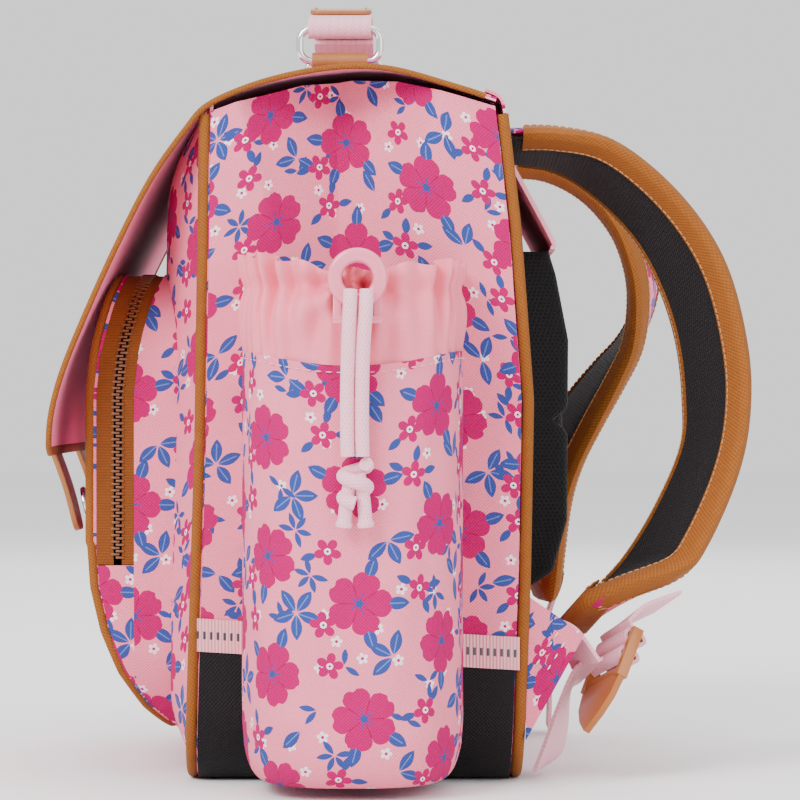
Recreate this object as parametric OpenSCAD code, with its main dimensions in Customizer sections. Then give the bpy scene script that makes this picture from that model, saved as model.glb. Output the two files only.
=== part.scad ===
// School backpack with a flap, a front zip pocket and a gathered bottle sleeve.
// Millimetres, +Z up. The front of the bag faces -Y, the shoulder straps are at +Y,
// and +X is the wearer's right, where the bottle sleeve is.
// The origin is the centre of the base, on the surface that the bag stands on.

/* [Body] */
// Width of the body
body_w = 230; // [228:1:232]
// Height of the side panels at their top hem
body_h = 262; // [260:1:264]
// Radius of the two lower corners, seen from the front
corner_r = 30; // [20:1:40]
// Height of the black base at the front edge
boot_front_z = 52; // [40:1:60]
// Height of the black base at the back edge
boot_back_z = 45; // [40:1:60]
// Height of the reflective ribbon above the base
ribbon_h = 12.7; // [8:0.1:16]
// Thickness of the lined fabric panels
fabric_t = 2; // [1.5:0.1:2.5]
// Diameter of the piping on the body
piping_d = 4.6; // [4:0.1:4.8]

/* [Front pocket] */
// Width of the pocket
pocket_w = 184; // [170:1:190]
// Height of the pocket's top edge
pocket_top_z = 198; // [190:1:198]
// Radius of the pocket's upper corners
pocket_r = 35; // [20:1:45]
// Height at which the zip starts
zip_start_z = 85; // [80:1:95]

/* [Bottle sleeve] */
// Width of the sleeve along the side of the bag
sleeve_w = 83; // [76:1:86]
// How far the sleeve stands out
sleeve_depth = 68; // [60:1:70]
// Height of the seam between sleeve and collar
sleeve_top_z = 165; // [150:1:168]
// Height of the collar's top edge
collar_top_z = 200; // [198:1:204]

/* [Flap] */
// Width of the flap
flap_w = 236; // [234:1:240]
// Thickness of the flap with its stiffener
flap_t = 3; // [2.5:0.1:3]
// Distance of each closing strap from the middle
closure_x = 55; // [40:1:70]
// Width of the closing straps
closure_w = 25; // [20:1:28]

/* [Handle] */
// Distance of each ring from the middle
ring_x = 64; // [58:1:68]
// Diameter of the ring's wire
wire_d = 3; // [2.6:0.1:3]
// Width of the handle
handle_w = 25; // [20:1:26]

/* [Straps] */
// Thickness of the padded shoulder straps
strap_t = 9; // [6:0.5:9]
// Width of the adjusting webbing
webbing_w = 25; // [20:1:25]
// Thickness of the webbing
webbing_t = 1.6; // [1.2:0.1:1.8]

/* [Hidden] */
$fn = 48;
half_w = body_w / 2;
piping_r = piping_d / 2;
// Front and back of the body seen from the side, as [y, z]
front_line = [[-60.5, 0], [-56.5, 130], [-54.6, 264]];
back_line = [[60.5, 0], [63.5, 80], [64.7, 148], [59.8, 215], [54.2, 264]];
back_top_z = 260.5;
// Pocket face, seen from the side, as [y, z]
pocket_face = [[-89.2, 198], [-93.2, 187], [-96.2, 175], [-98.2, 165], [-99.7, 150], [-99.7, 92], [-98.5, 75], [-94.5, 58], [-88, 42], [-79, 28], [-68, 17]];
// How far the pocket leans back under the flap, as [z, distance]
pocket_lean = [[0, 0], [150, 0], [165, 1.5], [175, 3.5], [187, 6.5], [198, 10.5], [202, 12]];
pocket_zip_y = -86;
pocket_end_y = -98.6;
chain_y = -92.4;
// Flap seen from the side, as [y, z]
flap_top_path = [[55.4, 264.6], [41, 269.5], [18, 276], [0, 277.4], [-20, 275], [-40, 270], [-57, 262.5]];
flap_front_path = [[-61.5, 258.6], [-70, 247], [-78, 235], [-90, 212], [-102, 187], [-112, 163], [-117, 145],
                   [-119, 127]];
closure_path = [[-100.6, 196], [-104.4, 188], [-114.4, 164], [-119.6, 145.5], [-121.3, 130]];
patch_path = [[-86.5, 224], [-92.3, 212.6], [-102.3, 191], [-110.6, 171]];
tip_path = [[-118.3, 126], [-114.5, 112], [-110.5, 96]];
// Ring and handle
ring_y = -6;
ring_low_z = 283;
ring_high_z = 296;
ring_half = 16;
handle_path = [[-58, 299.4], [-40, 303.4], [-20, 306], [0, 307], [20, 306], [40, 303.4], [58, 299.4]];
// Cord lock
lock_c = [190.2, 2.5, 192.5];
lock_r = 11;
lock_hole_r = 5.5;
lock_t = 7;
plunger_x = 7.4;
// Drawcord, from the cord lock down to the knot
strand_r = 2.6;
strand_a = [[196.6, 0.1, 188], [197.4, -0.2, 180], [195.2, -0.8, 166], [192.6, -1.2, 150], [191, -1.2, 136],
            [190.6, -1, 127.5]];
strand_b = [[196.6, 5.9, 188], [197.4, 5.6, 180], [195.2, 4.6, 166], [192.6, 4.2, 150], [191, 4.2, 136],
            [190.6, 4.4, 127.5]];
// Shoulder straps: outer and inner edge of each, from the root to the tip, as [x, y, z]
right_outer = [[88, 61, 252], [90, 80, 252], [93, 102, 247], [96, 126, 227], [99, 143, 201], [101, 151.5, 168],
               [102, 152, 141], [103, 147, 118], [104, 136, 93], [104, 128, 83.5], [104, 109, 77.5],
               [103, 90, 71]];
right_inner = [[34, 61, 247], [36, 81, 243], [40, 98, 231], [45, 114, 213], [49, 124, 193], [52, 130.5, 171],
               [53, 133, 148], [54, 132, 128], [55, 122, 105], [56, 109, 84], [60, 91, 63], [68, 76.5, 52]];
left_outer = [[-88, 61, 252], [-90, 84, 250], [-94, 104, 241], [-98, 123, 224], [-102, 129.5, 207],
              [-105, 127, 190], [-108, 119, 175], [-112, 107, 163], [-117, 94, 148], [-120, 84, 130],
              [-122, 80.5, 108], [-123, 79.5, 84], [-122, 79, 60]];
left_inner = [[-34, 61, 247], [-38, 80, 246], [-43, 98, 237], [-48, 111, 222], [-51, 118, 204], [-54, 120, 188],
              [-58, 118.5, 170], [-62, 112, 154], [-66, 103, 136], [-71, 95.5, 120], [-76, 90.5, 104],
              [-82, 87.5, 82], [-86, 85.5, 60]];
// Ladder locks: place of the point of the leaf, and the turn of the lock
lock_right_at = [107, 90, 19.5];
lock_right_turn = [-30, -18, 25];
lock_left_at = [-104, 75, 7];
lock_left_turn = [-5, 0, -8];
lock_top_bar = 40;
bar_pitch = 8;
bar_r = 1.9;
loop_r = 2.2;
loop_wall = 1.5;

tan_colour = "peru";
floral = "lightpink";
webbing_colour = "pink";
camel = "chocolate";

// ---- shared shapes ----

function unit(v) = v / norm(v);
function reversed(list) = [for (i = [len(list) - 1:-1:0]) list[i]];
function moved_y(line, d) = [for (p = line) [p[0] + d, p[1]]];
// Y of a [y, z] line, listed upwards, at height z
function line_y(line, z) = lookup(z, [for (p = line) [p[1], p[0]]]);
// Point i of a line, held at its ends
function held(list, i) = list[max(0, min(len(list) - 1, i))];

// Closed strip of thickness t between two edge lines with as many points
module strip(a, b, t) {
    n = len(a);
    up = [for (i = [0:n - 1]) unit(cross(b[i] - a[i], held(a, i + 1) + held(b, i + 1)
                                                    - held(a, i - 1) - held(b, i - 1))) * t / 2];
    points = [for (i = [0:n - 1]) each [a[i] + up[i], b[i] + up[i], b[i] - up[i], a[i] - up[i]]];
    sides = [for (i = [0:n - 2], k = [0:3]) let (p = 4 * i + k, q = 4 * i + (k + 1) % 4)
             each [[p, q + 4, q], [p, p + 4, q + 4]]];
    last = 4 * (n - 1);
    polyhedron(points, concat([[0, 1, 2], [0, 2, 3]], sides,
                              [[last + 2, last + 1, last], [last + 3, last + 2, last]]));
}

// Round tube of radius r along points; side is a direction that is never along the path
module tube(path, r, side, n = 8) {
    m = len(path);
    tangent = [for (i = [0:m - 1]) unit(held(path, i + 1) - held(path, i - 1))];
    u = [for (i = [0:m - 1]) unit(cross(tangent[i], side))];
    v = [for (i = [0:m - 1]) cross(tangent[i], u[i])];
    points = [for (i = [0:m - 1], k = [0:n - 1])
              path[i] + r * (cos(360 * k / n) * u[i] + sin(360 * k / n) * v[i])];
    sides = [for (i = [0:m - 2], k = [0:n - 1]) let (p = n * i + k, q = n * i + (k + 1) % n)
             each [[p, q + n, q], [p, p + n, q + n]]];
    polyhedron(points, concat([[for (k = [0:n - 1]) k]], sides,
                              [[for (k = [n - 1:-1:0]) n * (m - 1) + k]]));
}

// Strip whose edges run along x at -w/2 and w/2, from a [y, z] line
module cross_strip(path, w, t, x = 0) {
    strip([for (p = path) [x - w / 2, p[0], p[1]]], [for (p = path) [x + w / 2, p[0], p[1]]], t);
}

// Flat outline in x and z, made a prism from y0 to y1
module prism_y(y0, y1) {
    translate([0, y1, 0]) rotate([90, 0, 0]) linear_extrude(y1 - y0) children();
}

// Flat outline in y and z, made a prism from x0 to x1
module prism_x(x0, x1) {
    translate([x0, 0, 0]) rotate([90, 0, 90]) linear_extrude(x1 - x0) children();
}

// Front view of the body, inset by d
module body2d(d, top_z) {
    translate([-half_w + d, corner_r]) square([2 * (half_w - d), top_z - corner_r]);
    translate([-half_w + corner_r, d]) square([2 * (half_w - corner_r), corner_r]);
    for (s = [-1, 1]) translate([s * (half_w - corner_r), corner_r]) circle(corner_r - d);
}

// Front view of the pocket, inset by d
module pocket2d(d) {
    w = pocket_w / 2 - d;
    translate([-w, 0]) square([2 * w, pocket_top_z - pocket_r]);
    translate([-pocket_w / 2 + pocket_r, 0]) square([pocket_w - 2 * pocket_r, pocket_top_z - d]);
    for (s = [-1, 1]) translate([s * (pocket_w / 2 - pocket_r), pocket_top_z - pocket_r]) circle(pocket_r - d);
}

// Side walls and floor as one bent panel, between the front and back panels
module gusset_band() {
    intersection() {
        prism_y(-70, 75) difference() {
            body2d(0, body_h);
            body2d(fabric_t, body_h + 5);
        }
        prism_x(-half_w - 1, half_w + 1)
            polygon(concat(moved_y(front_line, fabric_t), reversed(moved_y(back_line, -fabric_t))));
    }
}

// Line between the black base and the panels above it, as a region of the side view
module boot_region(above) {
    prism_x(-half_w - 5, half_w + 5) polygon([[-80, above ? body_h + 9 : -9], [80, above ? body_h + 9 : -9],
        [80, boot_back_z], [65, boot_back_z], [-60, boot_front_z], [-80, boot_front_z]]);
}

// Plan of the bottle sleeve, inset by d: a squarish half oval against the side of the bag
module sleeve2d(d, grow = 0) {
    power = 2 / 3;
    polygon([for (a = [-90:6:90])
             [max(half_w, half_w + (sleeve_depth + grow - d) * pow(abs(cos(a)), power)),
              (sleeve_w / 2 + grow - d) * sign(sin(a)) * pow(abs(sin(a)), power)]]);
}

// ---- body ----

module front_panel() {
    color(floral) intersection() {
        prism_y(-70, 0) body2d(0, body_h - 1);
        prism_x(-half_w, half_w) polygon(concat(front_line, reversed(moved_y(front_line, fabric_t))));
    }
}

module back_panel() {
    color(floral) intersection() {
        prism_y(0, 75) body2d(0, back_top_z);
        prism_x(-half_w, half_w) polygon(concat(back_line, reversed(moved_y(back_line, -fabric_t))));
    }
}

module side_gusset(side) {
    color(floral) intersection() {
        gusset_band();
        boot_region(true);
        translate([side > 0 ? 0 : -200, -100, 0]) cube([200, 200, 300]);
    }
}
module side_gusset_right() { side_gusset(1); }
module side_gusset_left() { side_gusset(-1); }

module base_boot() {
    color("dimgray") intersection() {
        gusset_band();
        boot_region(false);
    }
}

module base_board() {
    color("gray") translate([-82, -54, fabric_t + 0.1]) cube([164, 108, 3]);
}

module back_board() {
    color("gray") intersection() {
        prism_x(-100, 100) polygon(concat(moved_y(back_line, -fabric_t - 3.1),
                                          reversed(moved_y(back_line, -fabric_t - 0.1))));
        translate([-100, 0, 12]) cube([200, 100, 236]);
    }
}

// Ribbon sewn over the joint of base and panel, left open behind the bottle sleeve
module side_ribbons() {
    color("plum") difference() {
        intersection() {
            union() for (s = [-1, 1]) mirror([s < 0 ? 1 : 0, 0, 0])
                prism_x(half_w, half_w + 0.8) polygon([[-60, boot_front_z], [65, boot_back_z],
                    [65, boot_back_z + ribbon_h], [-60, boot_front_z + ribbon_h]]);
            prism_x(-half_w - 2, half_w + 2) polygon(concat(front_line, reversed(back_line)));
        }
        translate([half_w - 1, -sleeve_w / 2 - 1, 0]) cube([4, sleeve_w + 2, 100]);
    }
}

// Piping along both sides and the bottom of a face; line is the face, out its side
function u_route(line, out) = let (r = corner_r - 1.6, x = half_w - 1.6 - r, z = piping_r + 0.1 + r)
    concat([for (h = [body_h - 4:-28:z + 20]) [-x - r, line_y(line, h) + out, h]],
           [for (a = [180:15:270]) [-x + r * cos(a), line_y(line, z + r * sin(a)) + out, z + r * sin(a)]],
           [for (a = [270:15:360]) [x + r * cos(a), line_y(line, z + r * sin(a)) + out, z + r * sin(a)]],
           reversed([for (h = [body_h - 4:-28:z + 20]) [x + r, line_y(line, h) + out, h]]));

module front_piping() {
    color(tan_colour) tube(u_route(front_line, -piping_r - 0.15), piping_r, [0, 1, 0]);
}
module back_piping() {
    color(tan_colour) tube(u_route(back_line, piping_r + 0.35), piping_r, [0, 1, 0]);
}

// ---- front pocket ----

module pocket_front() {
    color(floral) intersection() {
        prism_x(-100, 100) polygon(concat(pocket_face, reversed([for (p = pocket_face) [p[0] - 1.4, p[1] - 1.4]])));
        prism_y(-120, 0) pocket2d(0);
    }
}

// Side of the pocket between its face and the bag, inset by d at the face
module pocket_room(d) {
    prism_x(-110, 110) polygon(concat([for (p = pocket_face) [p[0] + d, p[1]]],
                                      [for (z = [17, 130, pocket_top_z]) [line_y(front_line, z) - 0.1, z]]));
}

// Part of the pocket's rim between two lines that lean back with it
module pocket_band(y0, y1, out, inset) {
    intersection() {
        prism_y(-120, -30) difference() {
            pocket2d(-out);
            pocket2d(inset);
            translate([-150, -10]) square([300, 27]);
        }
        prism_x(-110, 110) polygon(concat([for (p = pocket_lean) [y0 + p[1], p[0]]],
                                          [for (p = reversed(pocket_lean)) [y1 + p[1], p[0]]]));
    }
}

module pocket_gusset() {
    color(floral) intersection() {
        pocket_room(0.1);
        union() {
            pocket_band(pocket_zip_y, -40, 0, fabric_t);
            intersection() {
                pocket_band(-99, -40, 0, fabric_t);
                translate([-120, -120, 0]) cube([240, 100, zip_start_z]);
            }
        }
    }
}

module zip_part() {
    intersection() {
        children();
        translate([-120, -120, zip_start_z + 0.2]) cube([240, 120, 200]);
    }
}

module zip_tapes() {
    color(camel) zip_part() {
        union() {
            pocket_band(pocket_end_y, chain_y - 1.8, 0, 1.2);
            pocket_band(chain_y + 1.8, pocket_zip_y - 0.2, 0, 1.2);
        }
    }
}

module zip_chain() {
    color("sienna") zip_part() pocket_band(chain_y - 1.7, chain_y + 1.7, 0.8, 1);
}

slider_z = zip_start_z + 4;
module zip_slider() {
    color("sienna") translate([-pocket_w / 2 - 3.6, chain_y, slider_z]) difference() {
        union() {
            translate([0, -4, 0]) cube([2.2, 8, 11]);
            translate([-1.6, -1.2, 2]) cube([1.8, 2.4, 7.5]);
        }
        translate([-0.9, 0, 7]) rotate([90, 0, 0]) cylinder(h = 4, r = 0.75, center = true);
    }
}

module zip_pull() {
    color(camel) translate([-pocket_w / 2 - 4.5, chain_y, slider_z + 7]) {
        rotate([90, 0, 0]) cylinder(h = 5, r = 0.65, center = true);
        for (s = [-1, 1]) translate([-0.6, s * 1.9 - 0.5, -6.5]) cube([1.2, 1, 7.1]);
        translate([-1.3, -3.2, -26]) cube([1.9, 6.4, 20]);
    }
}

function piping_y(z) = -103.3 + lookup(z, pocket_lean);
function pocket_route() = let (r = pocket_r - 2, x = pocket_w / 2 - 2 - r, z = pocket_top_z - pocket_r)
    concat([for (p = reversed(pocket_face)) if (p[1] < 100) [-x - r, p[0] - 2.9, p[1] - 1.9]],
           [for (h = [110, 140, 152]) [-x - r, piping_y(h), h]],
           [for (a = [180:-15:90]) [-x + r * cos(a), piping_y(z + r * sin(a)), z + r * sin(a)]],
           [[0, piping_y(z + r), z + r]],
           [for (a = [90:-15:0]) [x + r * cos(a), piping_y(z + r * sin(a)), z + r * sin(a)]],
           [for (h = [152, 140, 110]) [x + r, piping_y(h), h]],
           [for (p = pocket_face) if (p[1] < 100) [x + r, p[0] - 2.9, p[1] - 1.9]]);
module pocket_piping() { color(tan_colour) tube(pocket_route(), 1.9, [0.02, 1, 0.3]); }

module pocket_magnets() {
    color("silver") for (s = [-1, 1]) translate([s * closure_x, -101.3, 108]) rotate([90, 0, 0])
        cylinder(h = 1.6, r = 8);
}

// ---- bottle sleeve, cord lock and drawcord ----

module bottle_sleeve() {
    color(floral) {
        translate([0, 0, 4]) linear_extrude(sleeve_top_z - 4) difference() {
            sleeve2d(0);
            sleeve2d(1.6);
        }
        translate([0, 0, 4]) linear_extrude(2) sleeve2d(0);
    }
}

module bottle_collar() {
    color("hotpink") translate([0, 0, sleeve_top_z]) linear_extrude(collar_top_z - sleeve_top_z) difference() {
        sleeve2d(0, -0.2);
        sleeve2d(2, -0.2);
    }
}

module cord_lock_body() {
    color("hotpink") translate(lock_c) difference() {
        rotate([0, 90, 0]) cylinder(h = lock_t, r = lock_r, center = true);
        rotate([0, 90, 0]) cylinder(h = lock_t + 2, r = lock_hole_r, center = true);
        for (s = [-1, 1]) translate([-1.6, s * plunger_x - 1.6, -lock_r - 1]) cube([3.2, 3.2, lock_r + 4.2]);
    }
}

module cord_lock_plunger() {
    color("hotpink") translate(lock_c) {
        for (s = [-1, 1]) translate([-1.45, s * plunger_x - 1.45, -14]) cube([2.9, 2.9, 11]);
        translate([-1.9, -9, -16.6]) cube([3.8, 18, 2.7]);
    }
}

module cord_lock_springs() {
    color("silver") translate(lock_c) for (s = [-1, 1]) translate([0, s * plunger_x, -2.9]) difference() {
        cylinder(h = 5.9, r = 1.4);
        translate([0, 0, -1]) cylinder(h = 8, r = 0.9);
    }
}

module drawcord_strand_a() { color("mistyrose") tube(strand_a, strand_r, [0, 1, 0]); }
module drawcord_strand_b() { color("mistyrose") tube(strand_b, strand_r, [0, 1, 0]); }

module drawcord_knot() {
    color("mistyrose") {
        translate([190.4, 1.7, 120.2]) cylinder(h = 14, r = 6.6, center = true);
        for (s = [-1, 1]) translate([190.4, 1.7 + s * 3, 101]) cylinder(h = 12.5, r = 2.6);
    }
}

// ---- back ----

module back_pad() {
    color("black") prism_x(-68, 68) polygon([[line_y(back_line, 72) + 0.1, 72], [70, 72], [79, 80], [84.5, 100],
        [85, 172], [80, 198], [77, 207.5], [line_y(back_line, 207.5) + 0.1, 207.5],
        [line_y(back_line, 148) + 0.1, 148]]);
}

module yoke_panel() {
    color(webbing_colour) prism_x(-88, 88) polygon([[line_y(back_line, 208) + 0.1, 208], [77, 208], [77.5, 211],
        [60, 243.5], [line_y(back_line, 243.5) + 0.1, 243.5], [line_y(back_line, 215) + 0.1, 215]]);
}

// Triangles of fabric that carry the lower ends of the straps: one stands out, one lies on the back
module strap_wing_right() {
    color(floral) prism_x(110.4, 113.2) polygon([[68.6, 73], [88.5, 57.5], [68.6, 17]]);
}
module strap_wing_left() {
    color(floral) prism_y(67.8, 70) polygon([[-113, 74], [-113, 18], [-88, 47]]);
}

module adjust_webbing_right() {
    color(webbing_colour) strip([[110, 76, 64], [109, 86, 59.5], [107.7, 92.2, 51.5]],
                                [[86.5, 74, 62], [86, 80, 56], [86.8, 82.2, 50]], webbing_t);
}
module adjust_webbing_left() {
    color(webbing_colour) cross_strip([[71.2, 52], [71.4, 40], [72.2, 33.5]], webbing_w - 1, 1.4, -103);
}

// ---- flap, handle and closing straps ----

module flap_top_panel() { color(floral) cross_strip(flap_top_path, flap_w, flap_t); }
module flap_front_panel() { color(floral) cross_strip(flap_front_path, flap_w, flap_t); }

module closure_patches() {
    color(tan_colour) for (s = [-1, 1]) cross_strip(patch_path, closure_w + 6, 1.6, s * closure_x);
}
module closure_straps() {
    color(tan_colour) for (s = [-1, 1]) cross_strip(closure_path, closure_w, 2, s * closure_x);
}
module closure_rivets() {
    color("silver") for (s = [-1, 1]) translate([s * closure_x, -105.2, 181]) rotate([90 + 22.6, 0, 0])
        cylinder(h = 4.9, r = 3.6);
}
module closure_tip(s) { color(tan_colour) cross_strip(tip_path, closure_w, 2.2, s * closure_x); }
module closure_tip_right() { closure_tip(1); }
module closure_tip_left() { closure_tip(-1); }
module tip_magnet(s) {
    color("silver") translate([s * closure_x, -109.7, 105.5]) rotate([90 + 14, 0, 0]) translate([0, 0, -3])
        cylinder(h = 1.8, r = 7.5);
}
module tip_magnet_right() { tip_magnet(1); }
module tip_magnet_left() { tip_magnet(-1); }

// Leather loop round the lower bar of a ring, with its foot sewn to the flap
module ring_tab(s) {
    color(tan_colour) translate([s * ring_x, ring_y, ring_low_z]) difference() {
        union() {
            rotate([90, 0, 0]) cylinder(h = 22, r = 3.4, center = true);
            translate([s > 0 ? -25 : 0, -11, -3.4]) cube([25, 22, 1.5]);
        }
        rotate([90, 0, 0]) cylinder(h = 40, r = wire_d / 2 + 0.3, center = true);
    }
}
module ring_tab_right() { ring_tab(1); }
module ring_tab_left() { ring_tab(-1); }

module ring(s) {
    bend = 3;
    mid_z = (ring_low_z + ring_high_z) / 2;
    rise = (ring_high_z - ring_low_z) / 2;
    color("silver") translate([s * ring_x, ring_y, mid_z]) {
        for (k = [-1, 1]) {
            translate([0, 0, k * rise]) rotate([90, 0, 0])
                cylinder(h = 2 * (ring_half - bend), r = wire_d / 2, center = true);
            translate([0, k * ring_half, 0]) cylinder(h = 2 * (rise - bend), r = wire_d / 2, center = true);
        }
        for (a = [0:3]) rotate([90 * a, 0, 0]) translate([0, (a % 2 == 0 ? ring_half : rise) - bend,
                                                          (a % 2 == 0 ? rise : ring_half) - bend])
            rotate([90, 0, 90]) rotate_extrude(angle = 90) translate([bend, 0]) circle(wire_d / 2);
    }
}
module ring_right() { ring(1); }
module ring_left() { ring(-1); }

function along_x(path, y, lift) = [for (p = path) [p[0], y, p[1] + lift]];
module handle_webbing() {
    color(webbing_colour) {
        strip(along_x(handle_path, ring_y - handle_w / 2, 0), along_x(handle_path, ring_y + handle_w / 2, 0), 2);
        for (s = [-1, 1]) translate([s * ring_x, ring_y, ring_high_z]) {
            rotate([90, 0, 0]) difference() {
                cylinder(h = handle_w, r = 3.6, center = true);
                cylinder(h = handle_w + 2, r = wire_d / 2 + 0.3, center = true);
            }
            translate([s > 0 ? -6.8 : 0.8, -handle_w / 2, 2]) cube([6, handle_w, 2]);
        }
    }
}
module handle_leather() {
    middle = [for (p = handle_path) if (abs(p[0]) < 45) p];
    color(tan_colour) strip(along_x(middle, ring_y - handle_w / 2 + 1, 2),
                            along_x(middle, ring_y + handle_w / 2 - 1, 2), 1.8);
}

// ---- shoulder straps and ladder locks ----

module strap_pad_right() { color("black") strip(right_outer, right_inner, strap_t); }
module strap_pad_left() { color("black") strip(left_outer, left_inner, strap_t); }

module at_lock(at, turn) { translate(at) rotate(turn) children(); }

// Webbing loop round a bar of a lock, at height z of the lock
module bar_loop(z, w) {
    translate([0, 0, z]) rotate([0, 90, 0]) difference() {
        cylinder(h = w, r = loop_r + loop_wall, center = true);
        cylinder(h = w + 2, r = loop_r, center = true);
    }
}

module strap_webbing_right() {
    color(webbing_colour) {
        at_lock(lock_right_at, lock_right_turn) bar_loop(lock_top_bar, webbing_w);
        strip([[100.5, 127.5, 73.5], [99.5, 114, 68.5], [99, 107.5, 62.5]],
              [[82, 118, 65], [79.5, 104, 58], [78, 97.5, 54.5]], 1.8);
    }
}
module strap_webbing_left() {
    color(webbing_colour) {
        at_lock(lock_left_at, lock_left_turn) bar_loop(lock_top_bar, webbing_w);
        cross_strip([[87.3, 64], [84, 54], [80.2, 49.4]], webbing_w, 1.8, -104);
    }
}

// Ladder lock: three round bars between two side rails, and a pointed leaf for the thumb
module ladder_lock(at, turn) {
    rail = 3;
    inner = webbing_w + 1.4;
    low_bar = lock_top_bar - 2 * bar_pitch;
    color(camel) at_lock(at, turn) {
        for (k = [0:2]) translate([0, 0, lock_top_bar - k * bar_pitch]) rotate([0, 90, 0])
            cylinder(h = inner + 2, r = bar_r, center = true);
        for (s = [-1, 1]) translate([s * (inner / 2 + rail / 2) - rail / 2, -2.2, low_bar - 3])
            cube([rail, 4.4, 2 * bar_pitch + 5.4]);
        rotate([90, 0, 0]) linear_extrude(2.6, center = true)
            polygon([[0, 0], [8, 6], [13.4, 12.5], [16.1, low_bar - 2], [-16.1, low_bar - 2], [-13.4, 12.5], [-8, 6]]);
        translate([-inner / 2, -1.3, low_bar - 4.5]) cube([inner, 2.6, 3]);
    }
}
module ladder_lock_right() { ladder_lock(lock_right_at, lock_right_turn); }
module ladder_lock_left() { ladder_lock(lock_left_at, lock_left_turn); }

// The adjusting webbing where it turns round the middle bar
module webbing_wrap(at, turn) {
    color(webbing_colour) at_lock(at, turn) bar_loop(lock_top_bar - bar_pitch, webbing_w);
}
module webbing_wrap_right() { webbing_wrap(lock_right_at, lock_right_turn); }
module webbing_wrap_left() { webbing_wrap(lock_left_at, lock_left_turn); }

module webbing_tail_right() {
    color(webbing_colour) strip([[96, 87, 44], [95.3, 83, 36], [95, 80, 28], [94.7, 77.5, 21], [94.4, 75, 14],
                                 [94, 72.4, 8], [93.6, 70.8, 4.5]],
                                [[74, 84, 33], [73.5, 83.8, 26], [73, 83.3, 19], [72.6, 82.5, 13], [72.2, 81, 8.5],
                                 [71.8, 78.5, 5], [71.6, 76, 3.5]], webbing_t);
}
module webbing_tail_left() {
    color(webbing_colour) cross_strip([[82.4, 40], [84, 30], [84.4, 18], [84, 3]], webbing_w - 1, webbing_t, -104);
}

front_panel();
back_panel();
side_gusset_right();
side_gusset_left();
base_boot();
base_board();
back_board();
side_ribbons();
front_piping();
back_piping();
pocket_front();
pocket_gusset();
zip_tapes();
zip_chain();
zip_slider();
zip_pull();
pocket_piping();
pocket_magnets();
bottle_sleeve();
bottle_collar();
cord_lock_body();
cord_lock_plunger();
cord_lock_springs();
drawcord_strand_a();
drawcord_strand_b();
drawcord_knot();
back_pad();
yoke_panel();
strap_wing_right();
strap_wing_left();
adjust_webbing_right();
adjust_webbing_left();
flap_top_panel();
ring_tab_right();
ring_tab_left();
ring_right();
ring_left();
handle_webbing();
handle_leather();
flap_front_panel();
closure_patches();
closure_straps();
closure_rivets();
closure_tip_right();
closure_tip_left();
tip_magnet_right();
tip_magnet_left();
strap_pad_right();
strap_pad_left();
strap_webbing_right();
strap_webbing_left();
ladder_lock_right();
ladder_lock_left();
webbing_wrap_right();
webbing_wrap_left();
webbing_tail_right();
webbing_tail_left();
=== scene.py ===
import bpy
import math
import numpy as np
from mathutils import Euler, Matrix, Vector


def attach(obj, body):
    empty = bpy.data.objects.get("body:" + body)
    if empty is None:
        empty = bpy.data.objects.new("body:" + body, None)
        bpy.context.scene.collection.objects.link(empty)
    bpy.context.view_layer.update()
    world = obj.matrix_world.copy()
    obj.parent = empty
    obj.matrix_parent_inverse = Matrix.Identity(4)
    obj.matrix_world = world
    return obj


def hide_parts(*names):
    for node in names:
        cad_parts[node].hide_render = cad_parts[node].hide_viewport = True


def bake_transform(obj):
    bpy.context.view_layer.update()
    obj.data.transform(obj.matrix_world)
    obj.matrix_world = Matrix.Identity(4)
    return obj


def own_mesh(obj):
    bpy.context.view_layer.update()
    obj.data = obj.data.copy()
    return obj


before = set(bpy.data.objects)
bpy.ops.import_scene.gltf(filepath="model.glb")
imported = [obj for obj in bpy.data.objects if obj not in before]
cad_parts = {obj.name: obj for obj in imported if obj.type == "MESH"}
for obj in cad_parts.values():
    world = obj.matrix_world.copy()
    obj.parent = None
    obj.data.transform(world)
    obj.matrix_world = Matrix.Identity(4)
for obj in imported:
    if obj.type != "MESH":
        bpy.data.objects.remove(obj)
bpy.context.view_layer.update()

mm = 0.001

# ---------- camera, light and floor ----------

studio = {
    "cameraSide": 115.0,      # plane of the bag's side that the camera distance counts from
    "cameraDistance": 1400.0,
    "lookY": 18.0,
    "lookZ": 148.0,
    "lens": 163.8,
    "floor": (0.93, 0.93, 0.93, 1.0),
}


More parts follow.
